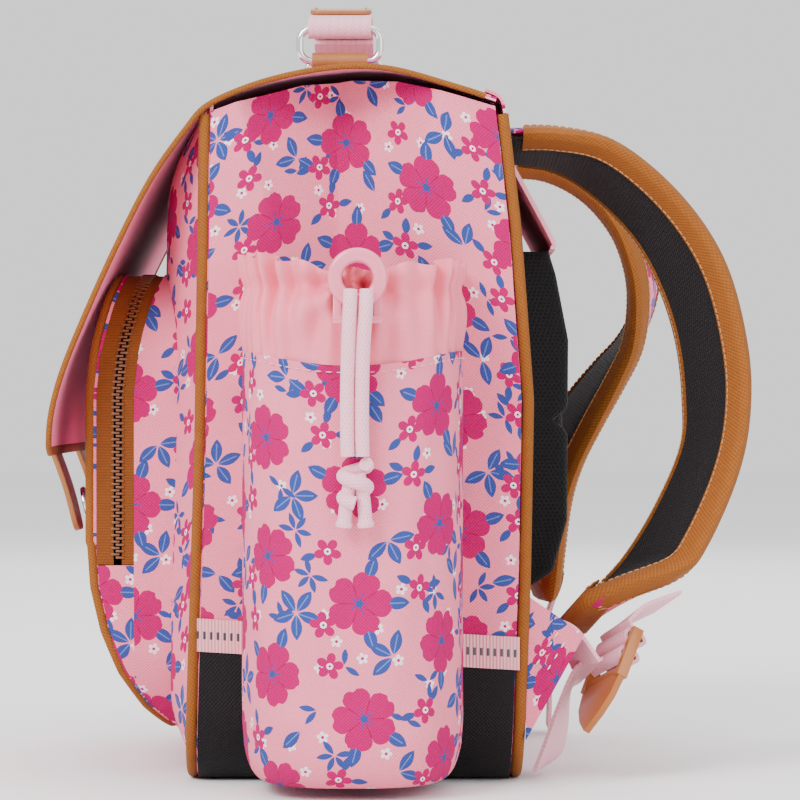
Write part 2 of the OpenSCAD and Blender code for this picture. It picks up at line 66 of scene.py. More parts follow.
def makeStudio():
    bpy.ops.object.camera_add(location=((studio["cameraSide"] + studio["cameraDistance"]) * mm,
                                        studio["lookY"] * mm, studio["lookZ"] * mm),
                              rotation=(math.radians(90), 0, math.radians(90)))
    camera = bpy.context.object
    camera.data.lens = studio["lens"]
    camera.data.sensor_width = 36
    camera.data.clip_end = 50
    bpy.context.scene.camera = camera
    bpy.ops.mesh.primitive_plane_add(size=12, location=(0, 0, 0))
    floor = bpy.context.object
    floor.name = "studioFloor"
    paint = bpy.data.materials.new("floorPaint")
    paint.use_nodes = True
    shader = paint.node_tree.nodes["Principled BSDF"]
    shader.inputs["Base Color"].default_value = studio["floor"]
    shader.inputs["Roughness"].default_value = 0.9
    floor.data.materials.append(paint)
    for name, place, aim, size, power in (
            ("keyLight", (1.7, -1.1, 1.5), (0, 0, 0.14), 1.1, 62),
            ("fillLight", (1.6, 1.5, 0.9), (0, 0, 0.15), 1.6, 20),
            ("topLight", (0.2, 0.1, 2.1), (0, 0, 0.1), 1.8, 20),
            ("backLight", (-1.6, 0.3, 1.2), (0, 0, 0.15), 1.4, 12)):
        bpy.ops.object.light_add(type="AREA", location=place)
        lamp = bpy.context.object
        lamp.name = name
        lamp.data.energy = power
        lamp.data.size = size
        lamp.rotation_euler = (Vector(aim) - Vector(place)).to_track_quat("-Z", "Y").to_euler()
    world = bpy.data.worlds.new("studioAir")
    world.use_nodes = True
    world.node_tree.nodes["Background"].inputs["Color"].default_value = (1, 1, 1, 1)
    world.node_tree.nodes["Background"].inputs["Strength"].default_value = 1.15
    bpy.context.scene.world = world


# ---------- modelling helpers ----------

def pickOnly(piece):
    bpy.ops.object.select_all(action="DESELECT")
    piece.select_set(True)
    bpy.context.view_layer.objects.active = piece


def cleanMesh(piece, closed=False, merge=0.00001):
    pickOnly(piece)
    bpy.ops.object.mode_set(mode="EDIT")
    bpy.ops.mesh.select_all(action="SELECT")
    bpy.ops.mesh.remove_doubles(threshold=merge)
    if closed:
        bpy.ops.mesh.fill_holes(sides=0)
        bpy.ops.mesh.select_all(action="SELECT")
        bpy.ops.mesh.normals_make_consistent(inside=False)
    bpy.ops.object.mode_set(mode="OBJECT")


def addModifier(piece, kind, **settings):
    pickOnly(piece)
    modifier = piece.modifiers.new(kind.lower(), kind)
    for key, value in settings.items():
        setattr(modifier, key, value)
    bpy.ops.object.modifier_apply(modifier=modifier.name)


def thicken(piece, thickness, offset=0.0):
    addModifier(piece, "SOLIDIFY", thickness=thickness * mm, offset=offset, use_even_offset=False)
    bpy.ops.object.mode_set(mode="EDIT")
    bpy.ops.mesh.select_all(action="SELECT")
    bpy.ops.mesh.normals_make_consistent(inside=False)
    bpy.ops.object.mode_set(mode="OBJECT")


def softEdges(piece, width, segments=2, angle=35):
    addModifier(piece, "BEVEL", width=width * mm, segments=segments, limit_method="ANGLE",
                angle_limit=math.radians(angle), use_clamp_overlap=True)


def smoothShade(piece, angle=40):
    pickOnly(piece)
    bpy.ops.object.shade_smooth_by_angle(angle=math.radians(angle))


# A sheet of cloth from rows of points in mm; its UV map is its own size in metres
def sheetFrom(name, rows, wrap=False, closed=False, uvShift=(0, 0)):
    points = np.array(rows, dtype=float) * mm
    rowCount, colCount = points.shape[:2]
    bpy.ops.object.select_all(action="DESELECT")
    bpy.ops.mesh.primitive_grid_add(x_subdivisions=colCount - 1, y_subdivisions=rowCount - 1, size=1)
    piece = bpy.context.object
    piece.name = name
    piece.data.name = name
    piece.data.vertices.foreach_set("co", points.reshape(-1))
    stepU = np.linalg.norm(np.diff(points, axis=1), axis=2)
    stepV = np.linalg.norm(np.diff(points, axis=0), axis=2)
    u = np.concatenate([np.zeros((rowCount, 1)), np.cumsum(stepU, axis=1)], axis=1)
    u -= u[:, colCount // 2][:, None]
    v = np.concatenate([np.zeros((1, colCount)), np.cumsum(stepV, axis=0)], axis=0)
    v = np.repeat(v.mean(axis=1)[:, None], colCount, axis=1)
    flat = np.stack([u + uvShift[0] * mm, v + uvShift[1] * mm], axis=2).reshape(-1, 2)
    owner = np.zeros(len(piece.data.loops), dtype=np.int32)
    piece.data.loops.foreach_get("vertex_index", owner)
    piece.data.uv_layers.active.data.foreach_set("uv", flat[owner].reshape(-1))
    piece.data.update()
    if wrap or closed:
        cleanMesh(piece, closed)
    return piece


def smoothLine(points, count, loop=False):
    # Catmull-Rom line through the points, with even steps
    source = np.array(points, dtype=float)
    if loop:
        source = np.vstack([source[-1:], source, source[:2]])
    else:
        source = np.vstack([2 * source[0] - source[1], source, 2 * source[-1] - source[-2]])
    fine = []
    for i in range(1, len(source) - 2):
        p0, p1, p2, p3 = source[i - 1:i + 3]
        for t in np.linspace(0, 1, 24, endpoint=False):
            fine.append(0.5 * (2 * p1 + (p2 - p0) * t + (2 * p0 - 5 * p1 + 4 * p2 - p3) * t ** 2
                               + (3 * p1 - p0 - 3 * p2 + p3) * t ** 3))
    fine.append(source[-2])
    return evenLine(np.array(fine), count)


def evenLine(line, count):
    line = np.array(line, dtype=float)
    far = np.concatenate([[0], np.cumsum(np.linalg.norm(np.diff(line, axis=0), axis=1))])
    at = np.linspace(0, far[-1], count)
    return np.stack([np.interp(at, far, line[:, k]) for k in range(line.shape[1])], axis=1)


def pathFrames(line, side):
    line = np.array(line, dtype=float)
    tangent = np.gradient(line, axis=0)
    tangent /= np.linalg.norm(tangent, axis=1)[:, None]
    first = np.array(side, dtype=float)
    across = []
    for t in tangent:
        first = first - np.dot(first, t) * t
        first = first / np.linalg.norm(first)
        across.append(first)
    across = np.array(across)
    return tangent, across, np.cross(tangent, across)


# Round tube along a line in mm, closed at its ends
def tubeAlong(name, line, radius, side=(0, 1, 0), around=12, closed=True):
    across, other = pathFrames(line, side)[1:]
    turn = np.linspace(0, 2 * math.pi, around + 1)
    radius = np.broadcast_to(np.array(radius, dtype=float), (len(line),))
    rows = []
    for i, centre in enumerate(np.array(line, dtype=float)):
        rows.append([centre + radius[i] * (math.cos(a) * across[i] + math.sin(a) * other[i]) for a in turn])
    return sheetFrom(name, rows, wrap=True, closed=closed)


# One small shape repeated at many places, in a single mesh
def repeatShape(name, source, places):
    base = np.zeros(len(source.data.vertices) * 3)
    source.data.vertices.foreach_get("co", base)
    base = base.reshape(-1, 3)
    faces = [tuple(p.vertices) for p in source.data.polygons]
    allPoints = []
    allFaces = []
    for k, (centre, x, y, z) in enumerate(places):
        turned = base[:, :1] * np.array(x) + base[:, 1:2] * np.array(y) + base[:, 2:] * np.array(z)
        allPoints.append(turned + np.array(centre) * mm)
        allFaces.extend(tuple(i + k * len(base) for i in f) for f in faces)
    mesh = bpy.data.meshes.new(name)
    mesh.from_pydata([tuple(p) for p in np.vstack(allPoints)], [], allFaces)
    piece = bpy.data.objects.new(name, mesh)
    bpy.context.collection.objects.link(piece)
    bpy.data.objects.remove(source)
    cleanMesh(piece)
    pickOnly(piece)
    bpy.ops.object.mode_set(mode="EDIT")
    bpy.ops.mesh.select_all(action="SELECT")
    bpy.ops.mesh.normals_make_consistent(inside=False)
    bpy.ops.object.mode_set(mode="OBJECT")
    return piece


sewing = {"stitch": 2.6, "gap": 1.3, "thread": 0.32, "lift": 0.25}


# Row of thread stitches along lines in mm that lie on the cloth
def stitchRow(name, lines, lift, body, material):
    bpy.ops.object.select_all(action="DESELECT")
    bpy.ops.mesh.primitive_uv_sphere_add(segments=6, ring_count=4, radius=1)
    seed = bpy.context.object
    seed.scale = (sewing["stitch"] / 2 * mm, sewing["thread"] * mm, sewing["thread"] * mm)
    bpy.ops.object.transform_apply(location=False, rotation=False, scale=True)
    pitch = sewing["stitch"] + sewing["gap"]
    places = []
    for line, up in zip(lines, lift):
        line = np.array(line, dtype=float)
        length = np.linalg.norm(np.diff(line, axis=0), axis=1).sum()
        count = max(2, int(length / pitch))
        even = evenLine(line, count + 1)
        up = np.array(up, dtype=float)
        for a, b in zip(even[:-1], even[1:]):
            along = (b - a) / np.linalg.norm(b - a)
            out = up - np.dot(up, along) * along
            out /= np.linalg.norm(out)
            places.append(((a + b) / 2 + out * sewing["lift"], along, np.cross(out, along), out))
    piece = repeatShape(name, seed, places)
    dress(piece, body, material)
    return piece


# Copy of a CAD node with merged faces and rounded edges, which then stands for the node
def roundedCopy(node, width, material, body, segments=2, angle=35):
    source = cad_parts[node]
    piece = source.copy()
    piece.data = source.data.copy()
    piece.name = node + "Rounded"
    piece.parent = None
    piece.matrix_world = source.matrix_world.copy()
    bpy.context.collection.objects.link(piece)
    piece.hide_render = False
    piece.data.materials.clear()
    cleanMesh(piece, merge=0.00002)
    pickOnly(piece)
    bpy.ops.object.transform_apply(location=True, rotation=True, scale=True)
    addModifier(piece, "DECIMATE", decimate_type="DISSOLVE", angle_limit=math.radians(2))
    softEdges(piece, width, segments, angle)
    dress(piece, body, material, node)
    return piece


def dress(piece, body, material, nodes=(), angle=40):
    piece.data.materials.clear()
    piece.data.materials.append(material)
    smoothShade(piece, angle)
    if body:
        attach(piece, body)
    if isinstance(nodes, str):
        nodes = (nodes,)
    if nodes:
        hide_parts(*nodes)
    return piece


# ---------- materials ----------

# Short ways to lay shader nodes; a value is a number, a colour or another node's output
class NodeDesk:
    def __init__(self, name):
        self.material = bpy.data.materials.new(name)
        self.material.use_nodes = True
        self.tree = self.material.node_tree
        self.shader = self.tree.nodes["Principled BSDF"]

    def node(self, kind, **settings):
        made = self.tree.nodes.new(kind)
        for key, value in settings.items():
            setattr(made, key, value)
        return made

    def feed(self, socket, value):
        if isinstance(value, bpy.types.NodeSocket):
            self.tree.links.new(value, socket)
        else:
            socket.default_value = value

    def math(self, operation, a, b=0.0, c=0.0):
        made = self.node("ShaderNodeMath", operation=operation)
        for socket, value in zip(made.inputs, (a, b, c)):
            self.feed(socket, value)
        return made.outputs[0]

    def vector(self, operation, a, b=(0, 0, 0)):
        made = self.node("ShaderNodeVectorMath", operation=operation)
        self.feed(made.inputs[0], a)
        self.feed(made.inputs[1], b)
        return made.outputs[0]

    def scaled(self, a, factor):
        made = self.node("ShaderNodeVectorMath", operation="SCALE")
        self.feed(made.inputs[0], a)
        self.feed(made.inputs["Scale"], factor)
        return made.outputs[0]

    def turned(self, a, angle):
        made = self.node("ShaderNodeVectorRotate", rotation_type="Z_AXIS")
        self.feed(made.inputs["Vector"], a)
        self.feed(made.inputs["Angle"], angle)
        return made.outputs[0]

    def split(self, a):
        made = self.node("ShaderNodeSeparateXYZ")
        self.feed(made.inputs[0], a)
        return made.outputs[0], made.outputs[1], made.outputs[2]

    def join(self, x, y, z=0.0):
        made = self.node("ShaderNodeCombineXYZ")
        for socket, value in zip(made.inputs, (x, y, z)):
            self.feed(socket, value)
        return made.outputs[0]

    def chance(self, a):
        made = self.node("ShaderNodeTexWhiteNoise", noise_dimensions="3D")
        self.feed(made.inputs["Vector"], a)
        return made.outputs["Color"]

    def blendColour(self, factor, a, b):
        made = self.node("ShaderNodeMix", data_type="RGBA")
        self.feed(made.inputs[0], factor)
        self.feed(made.inputs[6], a)
        self.feed(made.inputs[7], b)
        return made.outputs[2]

    def noise(self, a, scale, detail=2.0, rough=0.5):
        made = self.node("ShaderNodeTexNoise")
        self.feed(made.inputs["Vector"], a)
        made.inputs["Scale"].default_value = scale
        made.inputs["Detail"].default_value = detail
        made.inputs["Roughness"].default_value = rough
        return made.outputs["Fac"]

    def cells(self, a, scale, feature="F1"):
        made = self.node("ShaderNodeTexVoronoi", feature=feature)
        self.feed(made.inputs["Vector"], a)
        made.inputs["Scale"].default_value = scale
        return made.outputs["Distance"]

    def flatPlace(self):
        # the piece's own UV map, in mm
        return self.scaled(self.node("ShaderNodeTexCoord").outputs["UV"], 1000.0)

    def solidPlace(self):
        # place in the model, in mm
        return self.scaled(self.node("ShaderNodeTexCoord").outputs["Object"], 1000.0)

    def relief(self, height, strength, depth):
        made = self.node("ShaderNodeBump")
        made.inputs["Strength"].default_value = strength
        made.inputs["Distance"].default_value = depth * mm
        self.feed(made.inputs["Height"], height)
        self.tree.links.new(made.outputs["Normal"], self.shader.inputs["Normal"])

    def finish(self, colour, rough, metal=0.0, sheen=0.0, coat=0.0, specular=0.5):
        self.feed(self.shader.inputs["Base Color"], colour)
        self.feed(self.shader.inputs["Roughness"], rough)
        self.shader.inputs["Metallic"].default_value = metal
        self.shader.inputs["Sheen Weight"].default_value = sheen
        self.shader.inputs["Coat Weight"].default_value = coat
        self.shader.inputs["Specular IOR Level"].default_value = specular
        return self.material


# Plain weave: threads that pass over and under each other
def weaveHeight(desk, place, pitch):
    x, y = desk.split(place)[:2]
    k = 2 * math.pi / pitch
    over = desk.math("MULTIPLY", desk.math("SINE", desk.math("MULTIPLY", x, k)),
                     desk.math("SINE", desk.math("MULTIPLY", y, k)))
    return desk.math("MULTIPLY_ADD", over, 0.5, 0.5)


def shade(desk, colour, factor, low, high):
    # colour made darker or lighter by a factor from 0 to 1
    gain = desk.math("MULTIPLY_ADD", factor, high - low, low)
    return desk.scaled(colour, gain) if isinstance(colour, bpy.types.NodeSocket) else \
        desk.scaled(desk.join(*colour[:3]), gain)


floral = {
    "ground": (0.90, 0.215, 0.32, 1),
    "magenta": (0.46, 0.0, 0.115, 1),
    "magentaDeep": (0.34, 0.0, 0.075, 1),
    "blue": (0.04, 0.066, 0.27, 1),
    "blueLight": (0.12, 0.18, 0.50, 1),
    "white": (0.95, 0.78, 0.84, 1),
    "scale": 0.83,
    "cell": 47.0,             # spacing of the large flowers, before scaling
    "turn": 0.42,
    "large": 14.2,
    "small": 6.2,
    "tiny": 2.7,
    "weave": 1.3,
}


class Motif:
    # One motif per lattice cell: its own turned place, radius and angle
    def __init__(self, desk, place, cell, shift, turn, wobble=0.0):
        turned = desk.scaled(desk.turned(place, turn), 1.0 / cell)
        x, y, z = desk.split(desk.vector("ADD", turned, (shift[0], shift[1], 0)))
        row = desk.math("FLOOR", y)
        x = desk.math("ADD", x, desk.math("MULTIPLY", row, 0.5))
        column = desk.math("FLOOR", x)
        self.desk = desk
        self.luck = desk.split(desk.chance(desk.join(column, row, shift[0] * 7 + cell)))
        inside = desk.join(desk.math("SUBTRACT", desk.math("SUBTRACT", x, column), 0.5),
                           desk.math("SUBTRACT", desk.math("SUBTRACT", y, row), 0.5))
        if wobble:
            stray = desk.join(desk.math("MULTIPLY", desk.math("SUBTRACT", self.luck[1], 0.5), wobble),
                              desk.math("MULTIPLY", desk.math("SUBTRACT", self.luck[2], 0.5), wobble))
            inside = desk.vector("ADD", inside, stray)
        inside = desk.scaled(inside, cell)
        self.place = desk.turned(inside, desk.math("MULTIPLY", self.luck[0], 2 * math.pi))
        self.x, self.y, z = desk.split(self.place)
        self.radius = desk.math("SQRT", desk.math("ADD", desk.math("MULTIPLY", self.x, self.x),
                                                  desk.math("MULTIPLY", self.y, self.y)))
        self.angle = desk.math("ARCTAN2", self.y, self.x)
        self.id = desk.join(column, row, shift[1] * 5 + cell)

    def petals(self, size, waist, power, notch=0.0):
        # 1 inside a flower of five petals
        desk = self.desk
        lobe = desk.math("ABSOLUTE", desk.math("COSINE", desk.math("MULTIPLY", self.angle, 2.5)))
        edge = desk.math("MULTIPLY_ADD", desk.math("POWER", lobe, power), size * (1 - waist), size * waist)
        if notch:
            cut = desk.math("MULTIPLY", desk.math("POWER", lobe, 26.0), size * notch)
            edge = desk.math("SUBTRACT", edge, cut)
            frill = desk.math("MULTIPLY", desk.noise(self.place, 0.45, 1.0), size * 0.09)
            edge = desk.math("ADD", edge, frill)
        self.lobe = lobe
        return desk.math("LESS_THAN", self.radius, edge)

    def leaves(self, start, length, width, share, sectors=5, seed=0.0):
        # 1 inside pointed leaves that spread from the middle, in a random share of the sectors
        desk = self.desk
        wide = 2 * math.pi / sectors
        turns = desk.math("DIVIDE", desk.math("ADD", self.angle, math.pi), wide)
        sector = desk.math("FLOOR", turns)
        lean = desk.math("MULTIPLY", desk.math("SUBTRACT", desk.math("SUBTRACT", turns, sector), 0.5), wide)
        along = desk.math("MULTIPLY", self.radius, desk.math("COSINE", lean))
        off = desk.math("ABSOLUTE", desk.math("MULTIPLY", self.radius, desk.math("SINE", lean)))
        t = desk.math("DIVIDE", desk.math("SUBTRACT", along, start), length)
        bow = desk.math("MULTIPLY", desk.math("MULTIPLY", t, desk.math("SUBTRACT", 1.0, t)), 4 * width)
        key = desk.join(desk.math("MULTIPLY", sector, 3.1), seed, 0.0)
        picked = desk.chance(desk.vector("ADD", self.id, key))
        there = desk.math("GREATER_THAN", desk.split(picked)[0], 1 - share)
        self.vein = desk.math("MULTIPLY", desk.math("LESS_THAN", off, 0.28), desk.math("LESS_THAN", t, 0.8))
        return desk.math("MULTIPLY", desk.math("LESS_THAN", off, bow), there)


def floralPrint(desk, place, colours):
    place = desk.scaled(place, 1 / colours["scale"])
    paper = colours["ground"]
    cell = colours["cell"]
    turn = colours["turn"]

    tiny = Motif(desk, place, cell * 0.34, (0.3, 0.1), turn + 0.5, 0.45)
    show = desk.math("GREATER_THAN", tiny.luck[0], 0.62)
    colour = desk.blendColour(desk.math("MULTIPLY", tiny.petals(colours["tiny"], 0.45, 0.7), show),
                              paper, colours["white"])
    dot = desk.math("MULTIPLY", desk.math("LESS_THAN", tiny.radius, 0.75), show)
    colour = desk.blendColour(dot, colour, colours["magenta"])

    pair = Motif(desk, place, cell * 0.42, (0.75, 0.55), turn - 0.3, 0.25)
    show = desk.math("GREATER_THAN", pair.luck[1], 0.58)
    mask = desk.math("MULTIPLY", pair.leaves(0.6, 7.6, 1.35, 0.55, 6, 2.0), show)
    colour = desk.blendColour(mask, colour, colours["blue"])

    sprig = Motif(desk, place, cell, (0.5, 0.84), turn)
    mask = sprig.leaves(0.8, 11.5, 2.7, 0.45, 5, 5.0)
    green = desk.blendColour(sprig.vein, colours["blue"], colours["blueLight"])
    colour = desk.blendColour(mask, colour, green)

    for shift, share in (((0.22, 0.83), 0.75), ((0.5, 0.17), 1.0)):
        small = Motif(desk, place, cell, shift, turn, 0.06)
        show = desk.math("LESS_THAN", small.luck[1], share)
        mask = desk.math("MULTIPLY", small.leaves(5.0, 8.2, 1.8, 0.32, 5, 9.0), show)
        colour = desk.blendColour(mask, colour, colours["blue"])
        mask = desk.math("MULTIPLY", small.petals(colours["small"], 0.42, 0.75), show)
        heart = desk.math("LESS_THAN", small.radius, 1.5)
        bloom = desk.blendColour(heart, colours["magenta"], colours["white"])
        bloom = desk.blendColour(desk.math("LESS_THAN", small.radius, 0.6), bloom, colours["magentaDeep"])
        colour = desk.blendColour(mask, colour, bloom)

    large = Motif(desk, place, cell, (0.0, 0.5), turn)
    mask = large.leaves(11.0, 11.5, 2.9, 0.4, 5, 1.0)
    green = desk.blendColour(large.vein, colours["blue"], colours["blueLight"])
    colour = desk.blendColour(mask, colour, green)
    mask = large.petals(colours["large"], 0.60, 0.42, 0.10)
    fold = desk.math("MULTIPLY", desk.math("LESS_THAN", large.lobe, 0.10),
                     desk.math("LESS_THAN", large.radius, colours["large"] * 0.62))
    bloom = desk.blendColour(fold, colours["magenta"], colours["magentaDeep"])
    ray = desk.math("MULTIPLY", desk.math("POWER", large.lobe, 30.0), 3.4)
    heart = desk.math("LESS_THAN", large.radius, desk.math("ADD", ray, 1.7))
    bloom = desk.blendColour(heart, bloom, colours["blue"])
    return desk.blendColour(mask, colour, bloom)


def makeFloral():
    desk = NodeDesk("floralCanvas")
    place = desk.flatPlace()
    colour = floralPrint(desk, place, floral)
    weave = weaveHeight(desk, place, floral["weave"])
    fuzz = desk.noise(place, 1.6, 3.0, 0.6)
    height = desk.math("ADD", weave, desk.math("MULTIPLY", fuzz, 0.6))
    # the print darker in the weave's hollows is painted shade; the lighter raised threads are partly the
    # white base yarn showing through the print and partly painted highlight
    colour = shade(desk, colour, weave, 0.80, 1.08)
    colour = shade(desk, colour, desk.noise(place, 0.05, 2.0), 0.95, 1.05)
    desk.relief(height, 0.8, 0.2)
    return desk.finish(colour, 0.85, sheen=0.02, specular=0.1)


def makeWoven(name, colour, pitch, rough=0.85, depth=0.2, low=0.75, high=1.1, sheen=0.03):
    desk = NodeDesk(name)
    place = desk.flatPlace()
    weave = weaveHeight(desk, place, pitch)
    fuzz = desk.noise(place, 0.8 / pitch, 3.0, 0.6)
    desk.relief(desk.math("ADD", weave, desk.math("MULTIPLY", fuzz, 0.7)), 0.6, depth)
    # painted shade and highlight: the colour is darker in the weave's hollows (low) and lighter on its raised
    # threads (high); the fuzz tone differs at random
    tone = shade(desk, shade(desk, colour, weave, low, high), fuzz, 0.9, 1.1)
    return desk.finish(tone, rough, sheen=sheen, specular=0.15)


# Twill tape: fine ribs that run slanting across it
def makeTwill(name, colour, pitch=0.9, slope=0.8):
    desk = NodeDesk(name)
    place = desk.flatPlace()
    x, y = desk.split(place)[:2]
    k = 2 * math.pi / pitch
    rib = desk.math("SINE", desk.math("MULTIPLY", desk.math("ADD", y, desk.math("MULTIPLY", x, slope)), k))
    slant = desk.math("SUBTRACT", x, desk.math("MULTIPLY", y, 0.3))
    cross = desk.math("SINE", desk.math("MULTIPLY", slant, k))
    height = desk.math("MULTIPLY_ADD", desk.math("MULTIPLY_ADD", cross, 0.4, rib), 0.35, 0.5)
    desk.relief(height, 0.7, 0.16)
    # painted shade and highlight: the colour is darker in the hollows between the ribs and lighter on their
    # crests; the noise tone differs at random
    tone = shade(desk, shade(desk, colour, height, 0.72, 1.14), desk.noise(place, 0.25, 2.0), 0.88, 1.12)
    return desk.finish(tone, 0.76, sheen=0.03, specular=0.15)


# Webbing: a herringbone whose chevrons run along the tape
def makeWebbing(name, colour):
    desk = NodeDesk(name)
    place = desk.flatPlace()
    x, y = desk.split(place)[:2]
    rib = desk.math("PINGPONG", x, 3.1)
    chevron = desk.math("SINE", desk.math("MULTIPLY", desk.math("ADD", y, rib), 2 * math.pi / 1.6))
    gutter = desk.math("SINE", desk.math("MULTIPLY", x, 2 * math.pi / 3.1))
    height = desk.math("MULTIPLY_ADD", desk.math("MULTIPLY_ADD", gutter, 0.5, chevron), 0.3, 0.5)
    desk.relief(height, 0.55, 0.22)
    # painted shade and highlight: the colour is darker in the gutters and lighter on the raised chevrons; the
    # noise tone differs at random
    tone = shade(desk, shade(desk, colour, height, 0.86, 1.06), desk.noise(place, 0.5, 2.0), 0.94, 1.05)
    return desk.finish(tone, 0.62, sheen=0.15, specular=0.35)


# Air mesh: a knit with rows of small round holes
def makeMesh(name, colour):
    desk = NodeDesk(name)
    place = desk.flatPlace()
    x, y = desk.split(place)[:2]
    row = desk.math("FLOOR", desk.math("DIVIDE", y, 1.5))
    shifted = desk.math("ADD", desk.math("DIVIDE", x, 1.9), desk.math("MULTIPLY", row, 0.5))
    dx = desk.math("MULTIPLY", desk.math("SUBTRACT", desk.math("FRACT", shifted), 0.5), 1.9)
    part = desk.math("FRACT", desk.math("DIVIDE", y, 1.5))
    dy = desk.math("MULTIPLY", desk.math("SUBTRACT", part, 0.5), 1.5)
    far = desk.math("SQRT", desk.math("ADD", desk.math("MULTIPLY", dx, dx), desk.math("MULTIPLY", dy, dy)))
    wall = desk.math("MULTIPLY", desk.math("MINIMUM", far, 0.75), 1.3)
    desk.relief(wall, 0.9, 0.5)
    # painted shade: the knit is darkest inside its holes and lighter on the walls between them; the noise
    # tone differs at random
    tone = shade(desk, shade(desk, colour, wall, 0.25, 1.6), desk.noise(place, 0.6, 2.0), 0.8, 1.25)
    return desk.finish(tone, 0.8, sheen=0.03, specular=0.2)


def makeSatin(name, colour, rough=0.42, specular=0.4):
    desk = NodeDesk(name)
    place = desk.flatPlace()
    x, y = desk.split(place)[:2]
    thread = desk.math("SINE", desk.math("MULTIPLY", y, 2 * math.pi / 0.5))
    slub = desk.noise(desk.join(desk.math("MULTIPLY", x, 0.08), y), 1.2, 3.0)
    desk.relief(desk.math("MULTIPLY_ADD", thread, 0.25, slub), 0.18, 0.08)
    return desk.finish(shade(desk, colour, slub, 0.94, 1.06), rough, sheen=0.04, specular=specular)


def makeLeather(name, colour):
    desk = NodeDesk(name)
    place = desk.solidPlace()
    grain = desk.cells(place, 0.9)
    broad = desk.noise(place, 0.12, 3.0)
    desk.relief(desk.math("MULTIPLY_ADD", grain, 0.8, desk.noise(place, 2.5, 3.0)), 0.35, 0.15)
    tone = shade(desk, shade(desk, colour, broad, 0.82, 1.16), grain, 0.92, 1.06)
    return desk.finish(tone, 0.48, specular=0.45)


def makePlastic(name, colour, rough=0.28, coat=0.25):
    desk = NodeDesk(name)
    place = desk.solidPlace()
    desk.relief(desk.noise(place, 1.1, 3.0), 0.08, 0.1)
    tone = shade(desk, colour, desk.noise(place, 0.08, 2.0), 0.93, 1.05)
    return desk.finish(tone, rough, coat=coat)


def makeMetal(name, colour, rough=0.14):
    desk = NodeDesk(name)
    place = desk.solidPlace()
    scuff = desk.noise(place, 1.8, 4.0, 0.7)
    desk.relief(scuff, 0.06, 0.05)
    return desk.finish(shade(desk, colour, scuff, 0.9, 1.05), rough, metal=1.0)


# Braided cord: two families of strands that wind round it
def makeBraid(name, colour):
    desk = NodeDesk(name)
    place = desk.flatPlace()
    x, y = desk.split(place)[:2]
    k = 2 * math.pi / 1.5
    one = desk.math("SINE", desk.math("MULTIPLY", desk.math("MULTIPLY_ADD", y, 0.55, x), k))
    two = desk.math("SINE", desk.math("MULTIPLY", desk.math("MULTIPLY_ADD", y, -0.55, x), k))
    height = desk.math("MAXIMUM", one, two)
    desk.relief(height, 0.55, 0.22)
    # painted shade and highlight: the colour is darker in the grooves between the strands and lighter on
    # their crests
    tone = shade(desk, colour, desk.math("MULTIPLY_ADD", height, 0.5, 0.5), 0.86, 1.05)
    return desk.finish(tone, 0.7, sheen=0.2, specular=0.3)


# Ribbed ribbon with a row of grey reflective dashes
def makeRibbon(name, colour, dash, height):
    desk = NodeDesk(name)
    place = desk.flatPlace()
    x, y = desk.split(place)[:2]
    rib = desk.math("SINE", desk.math("MULTIPLY", x, 2 * math.pi / 1.3))
    desk.relief(rib, 0.6, 0.25)
    middle = desk.math("LESS_THAN", desk.math("ABSOLUTE", desk.math("SUBTRACT", y, height * 0.5)), 1.5)
    mark = desk.math("LESS_THAN", desk.math("FRACT", desk.math("DIVIDE", x, 2.6)), 0.42)
    inked = desk.math("MULTIPLY", middle, mark)
    # painted shade and highlight: the plain ribbon is darker between its ribs and lighter on them; the dashes
    # are printed
    plain = shade(desk, colour, desk.math("MULTIPLY_ADD", rib, 0.5, 0.5), 0.86, 1.06)
    tone = desk.blendColour(inked, plain, dash)
    return desk.finish(tone, 0.55, sheen=0.1)


def makeBoard(name, colour):
    desk = NodeDesk(name)
    place = desk.solidPlace()
    grit = desk.noise(place, 0.8, 4.0)
    desk.relief(grit, 0.3, 0.2)
    return desk.finish(shade(desk, colour, grit, 0.85, 1.1), 0.7)


floralCanvas = makeFloral()
blackCanvas = makeWoven("blackCanvas", (0.0075, 0.007, 0.0078, 1), 1.5, 0.62, 0.4, 0.5, 1.5)
tanTwill = makeTwill("tanTwill", (0.25, 0.080, 0.012, 1), 1.45, 0.7)
zipTape = makeTwill("zipTape", (0.185, 0.052, 0.008, 1), 1.1, 0.0)
coilPlastic = makePlastic("coilPlastic", (0.15, 0.045, 0.008, 1), 0.4, 0.1)
airMesh = makeMesh("airMesh", (0.006, 0.006, 0.0065, 1))
pinkWebbing = makeWebbing("pinkWebbing", (0.84, 0.42, 0.50, 1))
yokeCloth = makeWoven("yokeCloth", (0.84, 0.38, 0.45, 1), 2.2, 0.7, 0.3, 0.85, 1.06)
pinkSatin = makeSatin("pinkSatin", (0.88, 0.20, 0.28, 1), 0.45, 0.25)
tanLeather = makeLeather("tanLeather", (0.34, 0.125, 0.030, 1))
camelPlastic = makePlastic("camelPlastic", (0.36, 0.108, 0.010, 1))
pinkPlastic = makePlastic("pinkPlastic", (0.86, 0.20, 0.31, 1), 0.22, 0.4)
nickel = makeMetal("nickel", (0.78, 0.77, 0.76, 1))
cordBraid = makeBraid("cordBraid", (0.92, 0.46, 0.57, 1))
ribbonCloth = makeRibbon("ribbonCloth", (0.84, 0.36, 0.40, 1), (0.05, 0.05, 0.06, 1), 12.7)
boardGrey = makeBoard("boardGrey", (0.25, 0.25, 0.26, 1))
whiteThread = makePlastic("whiteThread", (0.90, 0.72, 0.76, 1), 0.6, 0.0)
tanThread = makePlastic("tanThread", (0.40, 0.19, 0.065, 1), 0.6, 0.0)
print("materials ready")

makeStudio()


# ---------- drawcord and its knot ----------

